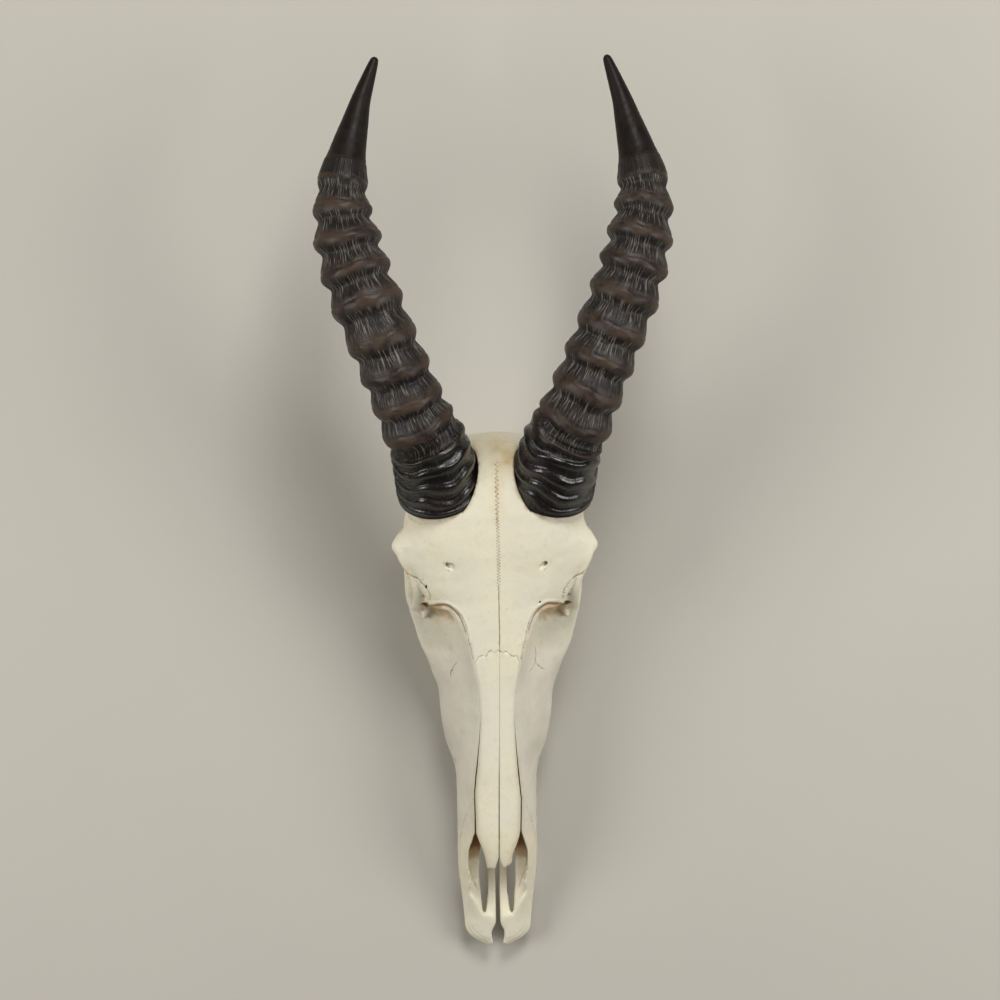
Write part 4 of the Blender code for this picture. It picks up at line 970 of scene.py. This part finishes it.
def pathField(points, normals, line, reach):
    # Distance in millimetres from a line, with its sign taken from the side of the line that a
    # point is on: the sign of (point - nearest) . (direction x normal). Far points get the reach.
    field = np.full(len(points), reach, float)
    near = np.flatnonzero(((points > line.min(0) - reach) & (points < line.max(0) + reach)).all(1))
    best = np.full(len(near), reach ** 2, float)
    value = np.full(len(near), reach, float)
    spots, facing = points[near], normals[near]
    for start, end in zip(line[:-1], line[1:]):
        run = end - start
        t = np.clip((spots - start) @ run / max(run @ run, 1e-9), 0, 1)
        away = spots - start - t[:, None] * run
        gap = np.einsum("ij,ij->i", away, away)
        closer = gap < best
        turn = np.einsum("ij,ij->i", away[closer], np.cross(run, facing[closer]))
        best[closer] = gap[closer]
        value[closer] = np.where(turn < 0, -1, 1) * np.sqrt(gap[closer])
    field[near] = value
    return field


def onSurface(thing, line):
    # The line's points moved to the nearest place on the object.
    return np.array([thing.closest_point_on_mesh(Vector(point * mm))[1] for point in line]) / mm


def sutureLines(thing, node="cranium"):
    # Each suture laid on the bone. A premaxilla has only the one along its edge, on its own side.
    lines = []
    for name, (path, where, swing, depth, dark) in sutures.items():
        if node != "cranium":
            where = [sides[node.split("_")[1]]] if name == "premaxillaEdge" else []
        for side in where:
            fine = curveThrough(np.array(path, float) * (side, 1, 1), 40)
            lines.append((suturePath(onSurface(thing, fine), 0.9, swing), depth, dark))
    return lines


def ripples(points, size, seed):
    # Soft uneven waves: a sum of thirty sines in scattered directions and lengths, the long
    # ones stronger, about one size from crest to crest.
    chance = np.random.default_rng(seed)
    rate = chance.uniform(0.45, 1.8, 30)
    waves = unit(chance.normal(size=(30, 3))) * rate[:, None] * 2 * np.pi / size
    phases = chance.uniform(0, 2 * np.pi, 30)
    return sum(np.sin(points @ wave + phase) / r for wave, phase, r in zip(waves, phases, rate)) / 6


def mound(points, centre, radii):
    # exp of minus the squared distance from the centre, counted in radii.
    return np.exp(-(((points - centre) / radii) ** 2).sum(1))


def craniumRelief(bone):
    points, normals = pointsOf(bone.data), normalsOf(bone.data)
    x, y, z = points.T
    push = 0.10 * ripples(points, 15, 3) + 0.05 * ripples(points, 5, 4)
    rough = smoothStep(y, 15, 45) * smoothStep(z, 116, 98)
    rough += 0.6 * smoothStep(z, 60, 30) * smoothStep(y, -40, 0)
    push += 0.22 * rough * ripples(points, 9, 5)
    for line, depth, _ in sutureLines(bone):
        away = pathField(points, normals, line, 3.0)
        push -= depth * np.exp(-(away / 0.75) ** 2)
    seam = (x - midlineX(y)) * np.where(normals[:, 2] > 0.4, 1, 9)
    brow = smoothStep(z, 84, 92) * smoothStep(y, 48, 36)
    push -= brow * 0.18 * np.exp(-(seam / 0.8) ** 2)
    push -= brow * 0.3 * np.exp(-(seam / 5.0) ** 2) * smoothStep(y, -30, -70)
    for side in sides.values():
        turn = np.array([side, 1, 1])
        lip = pathField(points, normals, curveThrough(np.array(fossaLip) * turn, 40), 9.0)
        push += 0.6 * np.exp(-(lip / 1.5) ** 2)
        push -= 1.3 * np.exp(-((-side * lip - 3.0) / 1.7) ** 2) * smoothStep(y, -100, -92)
        groove = pathField(points, normals, curveThrough(np.array(browGroove) * turn, 20), 9.0)
        push -= 0.35 * np.exp(-(groove / 2.4) ** 2) * smoothStep(y, -66, -50)
        push -= 0.5 * mound(points, (side * 36.5, -44.5, 120.5), (4, 5, 5))
        push -= 1.0 * mound(points, (side * 34, -202, 39), (6, 7, 5))
        push += 1.0 * mound(points, (side * 52, -100, 56), (9, 16, 5))
    points = points + normals * push[:, None]
    points[:, 0] -= 2.6 * mound(points, (-68, -60, 60), (12, 30, 26))
    points[:, 0] -= 1.8 * mound(points, (78, -25, 104), (14, 22, 16))
    points[:, 2] = np.maximum(points[:, 2], 0.02)
    movePoints(bone, points)
    markCreaseShadeAndDust(bone)


def muzzleRelief(bone):
    points, normals = pointsOf(bone.data), normalsOf(bone.data)
    push = 0.06 * ripples(points, 9, 6) + 0.03 * ripples(points, 3.5, 7)
    plan, upward = points * (1, 1, 0), normals * 0 + (0, 0, 1)
    for side in sides.values():
        rim = curveThrough(np.array([(side * x, y, 0) for x, y in lipRim]), 40)
        away = pathField(plan, upward, rim, 6.0) * side
        top = smoothStep(normals[:, 2], 0.1, 0.5)
        push -= top * 0.4 * np.exp(-(away / 0.7) ** 2)
        push -= top * 0.3 * np.exp(-((away - 2.2) / 1.2) ** 2) * (away < 6)
    points = points + normals * push[:, None]
    folded = np.abs(points) * (1, 0, 0) + points * (0, 1, 0)
    away = pathField(folded, upward, curveThrough(floorEdge, 30), 9.0)
    share = np.exp(-(away / 4.5) ** 2) * smoothStep(points[:, 2], 21, 25)
    movePoints(bone, averaged(bone.data, points, 70, share[:, None]))
    markCreaseShadeAndDust(bone)


def averaged(mesh, points, rounds, share=1.0):
    # Every round moves a point half of its share of the way to the mean of its neighbours.
    a, b = edgesOf(mesh)
    count = np.maximum(np.bincount(a, minlength=len(points)) + np.bincount(b, minlength=len(points)), 1)
    for _ in range(rounds):
        total = np.stack([np.bincount(a, p[b], len(p)) + np.bincount(b, p[a], len(p)) for p in points.T], -1)
        points = points + 0.5 * share * (total / count[:, None] - points)
    return points


def markCreaseShadeAndDust(bone):
    # How far the neighbours' middle stands above a point along its normal, over ten rounds of
    # averaging: above a half in creases and below it on ridges.
    # The finish paints shade and dust in tan and brown into the creases by this.
    points, normals = pointsOf(bone.data), normalsOf(bone.data)
    hollow = np.einsum("ij,ij->i", averaged(bone.data, points, 10) - points, normals)
    setAttribute(bone, "hollow", np.clip(0.5 + 1.2 * hollow, 0, 1))


def finishBone(bone, node):
    # Every stain and painted shade is an attribute on the points, so that the finish can read it.
    mesh = bone.data
    points, normals = pointsOf(mesh), normalsOf(mesh)
    x, y, z = points.T
    side = np.where(x < 0, -1, 1)
    turn = np.stack([side, 1 + 0 * x, 1 + 0 * x], -1)
    folded, facing = points * turn, normals[:, 0] * side
    inside = smoothStep(facing, 0.15, -0.25) + smoothStep(normals[:, 2], 0.75, 0.95) * smoothStep(z, 34, 28)
    nose = smoothStep(y, -284, -258) * smoothStep(y, -90, -110) * smoothStep(np.abs(x), 27, 24)
    palate = smoothStep(normals[:, 2], -0.1, -0.5) * smoothStep(z, 42, 36)
    # Darker the deeper a face lies inside the nose below its roof.
    stainAndShade = 0.8 * nose * np.clip(inside, 0, 1) * smoothStep(roofHeight(x, y) - z, 2, 7) * (1 - palate)
    # Painted shade in the fossae in front of the orbits, darkest high up under their ledges.
    stainAndShade += 0.5 * mound(folded, (42, -77, 93), (14, 7, 16))
    stainAndShade += 0.25 * mound(folded, (42, -84, 82), (12, 9, 12))
    stainAndShade += 0.55 * mound(folded, (42, -38, 80), (18, 26, 22)) * smoothStep(facing, 0.2, 0.9)
    if node == "cranium":
        # Painted shadow just under the ledge over each fossa.
        ledge = pathField(folded, normals * turn, curveThrough(fossaLip, 40), 9.0)
        stainAndShade += 0.15 * np.exp(-((-ledge - 2.6) / 1.6) ** 2) * smoothStep(y, -104, -86)
    # Painted shade inside every foramen and slit.
    for path, half, both in holes.values():
        spots = folded if both else points
        stainAndShade += 0.85 * mound(spots, np.array(path[len(path) // 2]), (1.9 * half,) * 3)
    # Painted shadow and dirt in a ring round the base of each horn.
    for way in sides.values():
        base, run = hornBase(way)
        rise = (points - base) @ run
        out = np.linalg.norm(points - base - rise[:, None] * run, axis=1)
        stainAndShade += 0.22 * smoothStep(out, 38, 33) * smoothStep(rise, -9, -1)
    warm = 0.75 * mound(points, (9, 37, 132), (7, 9, 12)) + 0.35 * mound(points, (0, 46, 126), (28, 16, 20))
    warm += 0.9 * mound(points, (-71, -46, 88), (7, 9, 22))
    warm += 0.25 * np.exp(-((x - midlineX(y)) / 5) ** 2) * smoothStep(y, -18, 8) * smoothStep(z, 110, 125)
    left, right = (readTable(seamForm["nasal"][name], y, 2) for name in ("left", "right"))
    outer = np.where(x > 0, left, right)
    seamEdge = np.exp(-((np.abs(x) - outer) / 2.2) ** 2) * smoothStep(roofHeight(x, y) - z, 9, 5)
    strong = 0.25 if node.startswith("nasal") else 0.75
    warm += strong * seamEdge * smoothStep(y, -172, -205) * smoothStep(y, -286, -276)
    warm += 0.14 * smoothStep(y, -236, -262) * smoothStep(y, -310, -280)
    # Painted shade: lilac-grey where a flank of the face turns to the side.
    flankShade = smoothStep(y, -262, -235) * smoothStep(y, -95, -125) * smoothStep(facing, 0.3, 0.7)
    for field, values in (("stainAndShade", stainAndShade), ("warm", warm), ("flankShade", flankShade)):
        setAttribute(bone, field, np.clip(values, 0, 1))
    if "hollow" not in mesh.attributes:
        setAttribute(bone, "hollow", np.full(len(points), 0.5))
    seamSide, seamNear = np.full(len(points), 4.0), np.zeros(len(points))
    if not node.startswith("nasal"):
        for line, _, dark in sutureLines(bone, node):
            away = pathField(points, normals, line, 4.0)
            closer = np.abs(away) < np.abs(seamSide)
            seamSide[closer] = away[closer]
            seamNear[closer] = dark * smoothStep(np.abs(away[closer]), 3.4, 2.0)
    setAttribute(bone, "seamSide", seamSide)
    setAttribute(bone, "seamNear", seamNear)
    onTop = smoothStep(z, 84, 92) * smoothStep(normals[:, 2], 0.3, 0.6) * (node == "cranium")
    setAttribute(bone, "midSide", np.clip(x - midlineX(y), -8, 8))
    setAttribute(bone, "midNear", onTop)
    smoothShade(bone)
    return carried(bone, node)


# Finishes

def linear(code):
    # An sRGB hex colour as linear RGBA: ((c + 0.055) / 1.055) ** 2.4 above the dark end.
    parts = [int(code[k:k + 2], 16) / 255 for k in (1, 3, 5)]
    return tuple(c / 12.92 if c <= 0.04045 else ((c + 0.055) / 1.055) ** 2.4 for c in parts) + (1.0,)


def perMetre(size):
    # A texture's scale from the size of its pattern in millimetres.
    return 1 / (size * mm)


def newMaterial(name, form):
    # The material, the function that adds its nodes, and the linear colours of its finish.
    material = bpy.data.materials.new(name)
    material.use_nodes = True
    material.node_tree.nodes.clear()
    tone = {key: linear(value) for key, value in form.items() if isinstance(value, str)}
    return material, partial(addNode, material.node_tree), tone


# Settings that a kind of node has unless told otherwise, with the output that is read.
usual = {
    "Attribute": {"out": "Fac"},
    "Bump": {"out": "Normal"},
    "MapRange": {"interpolation_type": "SMOOTHSTEP"},
    "Math": {"operation": "MULTIPLY"},
    "Mix": {"data_type": "RGBA", "out": 2},
    "TexCoord": {"out": "Object"},
}
add, take, plain = ({"operation": name} for name in ("ADD", "SUBTRACT", "ABSOLUTE"))


def addNode(tree, kind, feeds=(), **settings):
    # Adds a node with its settings, fills its inputs with values or links, and gives an output.
    # The inputs are in order, or under their names or numbers.
    settings = {"out": 0, **usual.get(kind, {}), **settings}
    out = settings.pop("out")
    node = tree.nodes.new("ShaderNode" + kind)
    for key, value in settings.items():
        setattr(node, key, value)
    for key, value in (feeds.items() if isinstance(feeds, dict) else enumerate(feeds)):
        if isinstance(value, bpy.types.NodeSocket):
            tree.links.new(value, node.inputs[key])
        else:
            node.inputs[key].default_value = value
    return node.outputs[out] if node.outputs else node


boneFinish = {
    "ivory": "#dcd5bf",
    "cream": "#e0d8bd",
    "grey": "#bdb6a6",
    "paintedShadeLilac": "#b9b1ab",
    # painted shade on the side-facing flanks
    "amber": "#bfa56e",
    "tan": "#b39a70",
    "brown": "#84592f",
    "paintedShadeUmber": "#2e2118",
    # near black: painted shade deep in the foramina and the nose
    "seam": "#5d4a36",
    "seamWarm": "#8c6a3c",
    "patch": 34,              # sizes in millimetres: large patches of colour, mottling, pores
    "mottle": 6,
    "pore": 0.9,
    "grain": 0.45,
    "wander": 2.2,            # how far apart a suture's turns are
    "zigzag": 3.4,            # one tooth of the suture on the dome
    "dots": 2.3,              # one pair of dots of the suture on the brow
}


def boneMaterial():
    # Cleaned and weathered bone: matt ivory mottled grey, with painted lilac-grey shade on the
    # side-facing flanks, amber where grease was, dark dust in pores and sutures, painted shade and dust in
    # hollows.
    form = boneFinish
    material, node, tone = newMaterial("Weathered bone", form)
    place = node("TexCoord")
    along = node("SeparateXYZ", (place,), out="Y")
    spot = {name: node("Attribute", attribute_name=name)
            for name in ("stainAndShade", "warm", "flankShade", "hollow", "seamSide", "seamNear", "midSide", "midNear")}
    details = {"patch": 4.0, "mottle": 6.0, "pore": 2.0, "grain": 3.0, "wander": 2.0}
    noise = {name: node("TexNoise", {"Vector": place, "Scale": perMetre(form[name]), "Detail": detail})
             for name, detail in details.items()}

    # large soft patches with a little grey mottling, painted lilac-grey shade on the flanks and amber grease
    layers = [(node("MapRange", (noise["patch"], 0.35, 0.68)), "cream"),
              (node("MapRange", (noise["mottle"], 0.5, 0.75, 0.0, 0.2)), "grey")]
    flankShade = node("MapRange", (noise["patch"], 0.3, 0.7, 0.25, 0.7))
    warm = node("MapRange", (noise["mottle"], 0.25, 0.7, 0.6, 1.0))
    layers += [(node("Math", (spot["flankShade"], flankShade)), "paintedShadeLilac"), (node("Math", (spot["warm"], warm)), "amber")]

    # stains and painted shade go from tan through brown to a near black umber as they get deeper
    worn = node("MapRange", (noise["mottle"], 0.2, 0.8, -0.09, 0.09))
    worn = node("Math", (spot["stainAndShade"], worn), **add)
    for name, low, high in (("tan", 0.1, 0.42), ("brown", 0.4, 0.75), ("paintedShadeUmber", 0.78, 1.1)):
        layers.append((node("MapRange", (worn, low, high)), name))
    # painted shade and dust in the creases, by the hollow attribute
    for name, low, high, most in (("tan", 0.53, 0.62, 0.45), ("brown", 0.6, 0.8, 0.7)):
        layers.append((node("MapRange", (spot["hollow"], low, high, 0.0, most)), name))

    # pores come in patches
    dense = node("MapRange", (noise["patch"], 0.4, 0.7, 0.68, 0.63))
    pores = node("Math", (noise["pore"], dense), **take)
    pores = node("MapRange", (pores, 0.0, 0.09, 0.0, 0.4))

    # sutures: a thin line that wanders about the signed distance from the path
    shift = node("MapRange", (noise["wander"], 0.3, 0.7, -0.7, 0.7))
    away = node("Math", (node("Math", (spot["seamSide"], shift), **add),), **plain)
    line = node("MapRange", (away, 0.4, 0.1))
    broken = node("MapRange", (noise["mottle"], 0.35, 0.55, 0.35, 0.95))
    for part in (spot["seamNear"], broken):
        line = node("Math", (line, part))

    # the suture between the frontals: a zigzag on the dome, then a straight hairline
    phase = node("Math", (along, 2 * math.pi * perMetre(form["zigzag"])))
    phase = node("Math", (phase, node("Math", (noise["wander"], 5.0))), **add)
    swing = node("Math", (phase,), operation="SINE")
    swing = node("Math", (swing, node("MapRange", (along, -0.014, 0.0, 0.0, 1.1))))
    wobble = node("Math", (noise["mottle"], -0.5), **add)
    wobble = node("Math", (wobble, 1.6))
    middle = node("Math", (node("Math", (spot["midSide"], swing), **add), wobble), **add)
    far = node("Math", (middle,), **plain)
    dome = node("MapRange", (along, -0.016, -0.004))
    hair = node("MapRange", (along, -0.056, -0.062, 0.0, 0.95))
    hair = node("Math", (hair, node("MapRange", (far, 0.36, 0.14))))
    thread = node("Math", (dome, node("MapRange", (far, 0.75, 0.25, 0.0, 0.8))))
    for part in (node("MapRange", (along, 0.044, 0.03)), broken, spot["midNear"]):
        thread = node("Math", (thread, part))
    hair = node("Math", (hair, spot["midNear"]))

    # between them two columns of dots that alternate from side to side
    phase = node("Math", (along, 2 * math.pi * perMetre(form["dots"])))
    phase = node("Math", (phase, node("Math", (spot["midSide"], 1.7))), **add)
    beat = node("Math", (phase,), operation="SINE")
    column = node("Math", (spot["midSide"],), **plain)
    column = node("Math", (node("Math", (column, 0.9), **take),), **plain)
    dots = node("Math", (node("MapRange", (beat, 0.1, 0.8)), node("MapRange", (column, 0.8, 0.2, 0.0, 0.7))))
    near = node("MapRange", (along, -0.064, -0.055))
    far = node("MapRange", (along, 0.002, -0.01))
    for part in (near, far, broken, spot["midNear"]):
        dots = node("Math", (dots, part))
    layers += [(pores, "seam"), (line, "seam"), (thread, "seamWarm"), (hair, "seam"), (dots, "seam")]
    colour = tone["ivory"]
    for share, name in layers:
        colour = node("Mix", {0: share, 6: colour, 7: tone[name]})

    # fine grain stands up, pores and sutures sink in
    relief = node("Math", (noise["mottle"], 0.45))
    for part, height in ((noise["grain"], 0.22), (pores, -0.9), (line, -0.8), (thread, -0.8), (dots, -0.6)):
        relief = node("Math", (relief, node("Math", (part, height))), **add)
    bump = node("Bump", {"Height": relief, "Strength": 0.55, "Distance": 0.35 * mm})
    rough = node("MapRange", (noise["mottle"], 0.3, 0.7, 0.5, 0.64))
    shader = node("BsdfPrincipled", {"Base Color": colour, "Roughness": rough, "IOR": 1.55,
                                     "Specular IOR Level": 0.42, "Normal": bump})
    node("OutputMaterial", (shader,))
    return material


hornFinish = {
    "roll": "#2a221c",
    "edge": "#3f3228",
    "hollow": "#1c1815",
    "base": "#0d0a08",
    # painted sheen: light caught on the fibres in the hollows
    "paintedSheen": "#827a71",
    "purple": "#22161a",
    "tip": "#120f0d",
    "fibre": 0.95,            # millimetres round the horn and along it
    "fibreLong": 13,
    "scuff": 7,
    "lump": 22,
    # Materials by place on the horn: name, specular level, where it starts.
    "parts": [("Horn keratin, glossy base", 0.5, 0), ("Horn keratin, ringed", 0.22, 2.0),
              ("Horn keratin, dull tip", 0.12, 11.65)],
}


def dressHorn(horn, materials):
    # A face takes the last material whose start is below the place of the face's first corner.
    mesh = horn.data
    place = readAll(mesh.attributes["along"].data, "value", 1, np.float32)[:, 0]
    corners = readAll(mesh.loops, "vertex_index", 1, np.int32)[:, 0]
    starts = readAll(mesh.polygons, "loop_start", 1, np.int32)[:, 0]
    mesh.materials.clear()
    for material in materials:
        mesh.materials.append(material)
    marks = [part[2] for part in hornFinish["parts"]]
    slots = np.clip(np.searchsorted(marks, place[corners[starts]], side="right") - 1, 0, 2)
    mesh.polygons.foreach_set("material_index", slots.astype(np.int32))


def hornMaterial(name, gloss):
    # Keratin sheath: dark and fibrous along the horn, polished brown on the crests of the rings,
    # near black in the hollows and at the base. The base gleams and the tip is dull.
    form = hornFinish
    material, node, tone = newMaterial(name, form)
    flow = node("Attribute", attribute_name="flow", out="Vector")
    crest, along = (node("Attribute", attribute_name=key) for key in ("crest", "along"))
    place = node("TexCoord")
    scale = [1 / form[key] for key in ("fibre", "fibre", "fibreLong")]
    stretched = node("Mapping", {"Vector": flow, "Scale": scale})
    fibre = node("TexNoise", {"Vector": stretched, "Scale": 1.0, "Detail": 5.0, "Roughness": 0.6})
    scuff, cloud = (node("TexNoise", {"Vector": place, "Scale": perMetre(form[key]), "Detail": detail,
                                      "Roughness": rough})
                    for key, detail, rough in (("scuff", 5.0, 0.65), ("lump", 3.0, 0.5)))

    # brown crests over dark hollows, a painted sheen of light on the fibres in the hollows, less so
    # in the band under the tip, and worn edges
    raised = node("Math", (crest, node("Math", (scuff, 0.4))), **add)
    raised = node("MapRange", (raised, 0.7, 1.2))
    deep = node("MapRange", (crest, 0.95, 0.5, 0.0, 0.8))
    deep = node("Math", (deep, node("MapRange", (along, 10.8, 11.1, 1.0, 0.15))))
    paintedSheenShare = node("Math", (node("MapRange", (fibre, 0.52, 0.68)), deep))
    worn = node("MapRange", (node("Math", (scuff, cloud), **add), 0.8, 1.15))
    worn = node("Math", (worn, raised))

    # smooth dark tip, and the glossy base with its purple tints
    start = hornForm["bandEnd"]
    tip = node("MapRange", (along, start - 0.05, start + 0.1, 0.0, 0.85))
    low = node("MapRange", (along, 3.0, 1.4, 0.0, 0.92))
    tint = node("Math", (low, node("MapRange", (cloud, 0.5, 0.7, 0.0, 0.7))))
    colour = tone["hollow"]
    for share, key in ((raised, "roll"), (paintedSheenShare, "paintedSheen"), (worn, "edge"), (tip, "tip"), (low, "base"),
                       (tint, "purple")):
        colour = node("Mix", {0: share, 6: colour, 7: tone[key]})

    relief = node("Math", (node("Math", (fibre, deep)), node("Math", (scuff, 0.6))), **add)
    bump = node("Bump", {"Height": relief, "Strength": 0.7, "Distance": 0.6 * mm})
    rough = node("MapRange", (scuff, 0.3, 0.7, 0.34, 0.56))
    rough = node("Math", (rough, node("Math", (low, 0.22))), **take)
    shader = node("BsdfPrincipled", {"Base Color": colour, "Roughness": rough, "IOR": 1.54,
                                     "Specular IOR Level": gloss, "Normal": bump})
    node("OutputMaterial", (shader,))
    return material


toothFinish = {
    "enamel": "#ddd2b6",
    "tartar": "#8f7750",
    "dentine": "#4a3620",
    "streak": (1.3, 1.3, 11),  # streaks down the crown
    "gumLine": (4, 15),        # heights that the tartar grows between
}


def toothMaterial():
    # Enamel and dentine: smooth ivory walls with brown streaks of tartar that thicken towards the
    # gum, dark worn basins between the enamel ridges.
    form = toothFinish
    material, node, tone = newMaterial("Tooth enamel", form)
    place = node("TexCoord")
    dark = node("Attribute", attribute_name="dark")
    scale = [perMetre(size) for size in form["streak"]]
    streak = node("TexNoise", {"Vector": node("Mapping", {"Vector": place, "Scale": scale}), "Scale": 1.0,
                               "Detail": 4.0})
    height = node("SeparateXYZ", (place,), out="Z")
    low, high = (level * mm for level in form["gumLine"])
    gum = node("MapRange", (height, low, high, 0.0, 0.45))
    share = node("MapRange", (streak, 0.45, 0.75, 0.0, 0.32))
    share = node("Math", (share, gum), **add)
    colour = tone["enamel"]
    for share, name in ((share, "tartar"), (dark, "dentine")):
        colour = node("Mix", {0: share, 6: colour, 7: tone[name]})
    bump = node("Bump", {"Height": streak, "Strength": 0.4, "Distance": 0.3 * mm})
    shader = node("BsdfPrincipled", {"Base Color": colour, "Roughness": 0.34, "IOR": 1.62, "Normal": bump})
    node("OutputMaterial", (shader,))
    return material


# Stage

stageForm = {
    "floor": 24.0,
    "floorColour": "#b4b0a5",
    "cloud": 220,             # millimetres across the unevenness of its colour
    "cameraHeight": 2.9,      # above the plane that the picture is fitted to
    "aim": (0.0042, 0.00675, 0.080),
    "pictureWidth": 0.77,
    "roll": 0.73,             # degrees, as is the lean towards -X
    "lean": 1.5,
    # Lights: place, size, power.
    "lights": {"Window": ((0.35, 1.6, 2.0), 1.0, 36), "Fill left": ((-1.6, -0.1, 1.3), 1.1, 22),
               "Fill right": ((1.6, -0.1, 1.3), 1.1, 21)},
    "sky": "#e6e4e0",
    "skyPower": (0.05, 0.2),  # at the horizon, and above the level
    "skyLevel": 0.6,          # as the height of a direction of length 1
}


def floorMaterial():
    # Matt painted board, with a faint unevenness so that it isn't flat.
    material, node, tone = newMaterial("Painted board", stageForm)
    scale = perMetre(stageForm["cloud"])
    cloud = node("TexNoise", {"Vector": node("TexCoord"), "Scale": scale, "Detail": 3.0})
    shade = node("MapRange", (cloud, 0.0, 1.0, 0.97, 1.03), interpolation_type="LINEAR")
    colour = node("Mix", {0: 1.0, 6: tone["floorColour"], 7: shade}, blend_type="MULTIPLY")
    shader = node("BsdfPrincipled", {"Base Color": colour, "Roughness": 0.85})
    node("OutputMaterial", (shader,))
    return material


def makeStage():
    half = stageForm["floor"] / 2
    mesh = bpy.data.meshes.new("floorBoard")
    corners = [(-half, -half, 0), (half, -half, 0), (half, half, 0), (-half, half, 0)]
    mesh.from_pydata(corners, [], [(0, 1, 2, 3)])
    floor = addObject("floorBoard", mesh)
    mesh.materials.append(floorMaterial())
    aim = Vector(stageForm["aim"])
    for name, (spot, size, power) in stageForm["lights"].items():
        light = bpy.data.lights.new(name, "AREA")
        light.shape = "DISK"
        light.size = size
        light.energy = power
        lamp = bpy.data.objects.new(name, light)
        lamp.location = spot
        lamp.rotation_euler = (aim - Vector(spot)).to_track_quat("-Z", "Y").to_euler()
        bpy.context.scene.collection.objects.link(lamp)
    world = bpy.data.worlds.new("Studio")
    world.use_nodes = True
    tree = world.node_tree
    place = addNode(tree, "TexCoord", out="Generated")
    height = addNode(tree, "SeparateXYZ", (place,), out="Z")
    power = addNode(tree, "MapRange", (height, 0.0, stageForm["skyLevel"]) + stageForm["skyPower"],
                    interpolation_type="LINEAR")
    tree.links.new(power, tree.nodes["Background"].inputs["Strength"])
    tree.nodes["Background"].inputs["Color"].default_value = linear(stageForm["sky"])
    bpy.context.scene.world = world
    bpy.context.scene.view_settings.view_transform = "Standard"


def makeCamera():
    # Almost straight down over the skull, with the nose at the bottom of the picture.
    lens = bpy.data.cameras.new("Photo camera")
    lens.sensor_width = 36.0
    lens.lens = lens.sensor_width * stageForm["cameraHeight"] / stageForm["pictureWidth"]
    turn = math.radians(stageForm["roll"])
    lean = math.radians(stageForm["lean"])
    look = Vector((math.sin(lean), 0, -math.cos(lean)))
    across = look.cross(Vector((0, 1, 0)))
    up = Vector((0, 1, 0)) * math.cos(turn) + across * math.sin(turn)
    right = look.cross(up)
    spot = Vector(stageForm["aim"]) - look * stageForm["cameraHeight"]
    camera = bpy.data.objects.new("Photo camera", lens)
    camera.matrix_world = Matrix.Translation(spot) @ Matrix((right, up, -look)).transposed().to_4x4()
    bpy.context.scene.collection.objects.link(camera)
    bpy.context.scene.camera = camera


# Everything in turn

roof = roofGrid()
shared = faceCutters()
bed = bedCutter()
bones = [makeCranium(shared, bed)]
print("cranium done:", len(bones[0].data.polygons), "faces")
bones += makePremaxillae(shared, bed)
bones += makeNasals()
print("muzzle done:", [len(bone.data.polygons) for bone in bones[1:]], "faces")
horns = makeHorns()
teeth = makeTeeth()
print("horns and teeth done:", len(horns), "horns and", len(teeth), "teeth")
removeHelpers(*shared, bed)
hornMaterials = [hornMaterial(name, gloss) for name, gloss, _ in hornFinish["parts"]]
for horn in horns:
    dressHorn(horn, hornMaterials)
for pieces, material in ((bones, boneMaterial()), (teeth, toothMaterial())):
    for piece in pieces:
        piece.data.materials.clear()
        piece.data.materials.append(material)
makeStage()
makeCamera()
print("stage done")
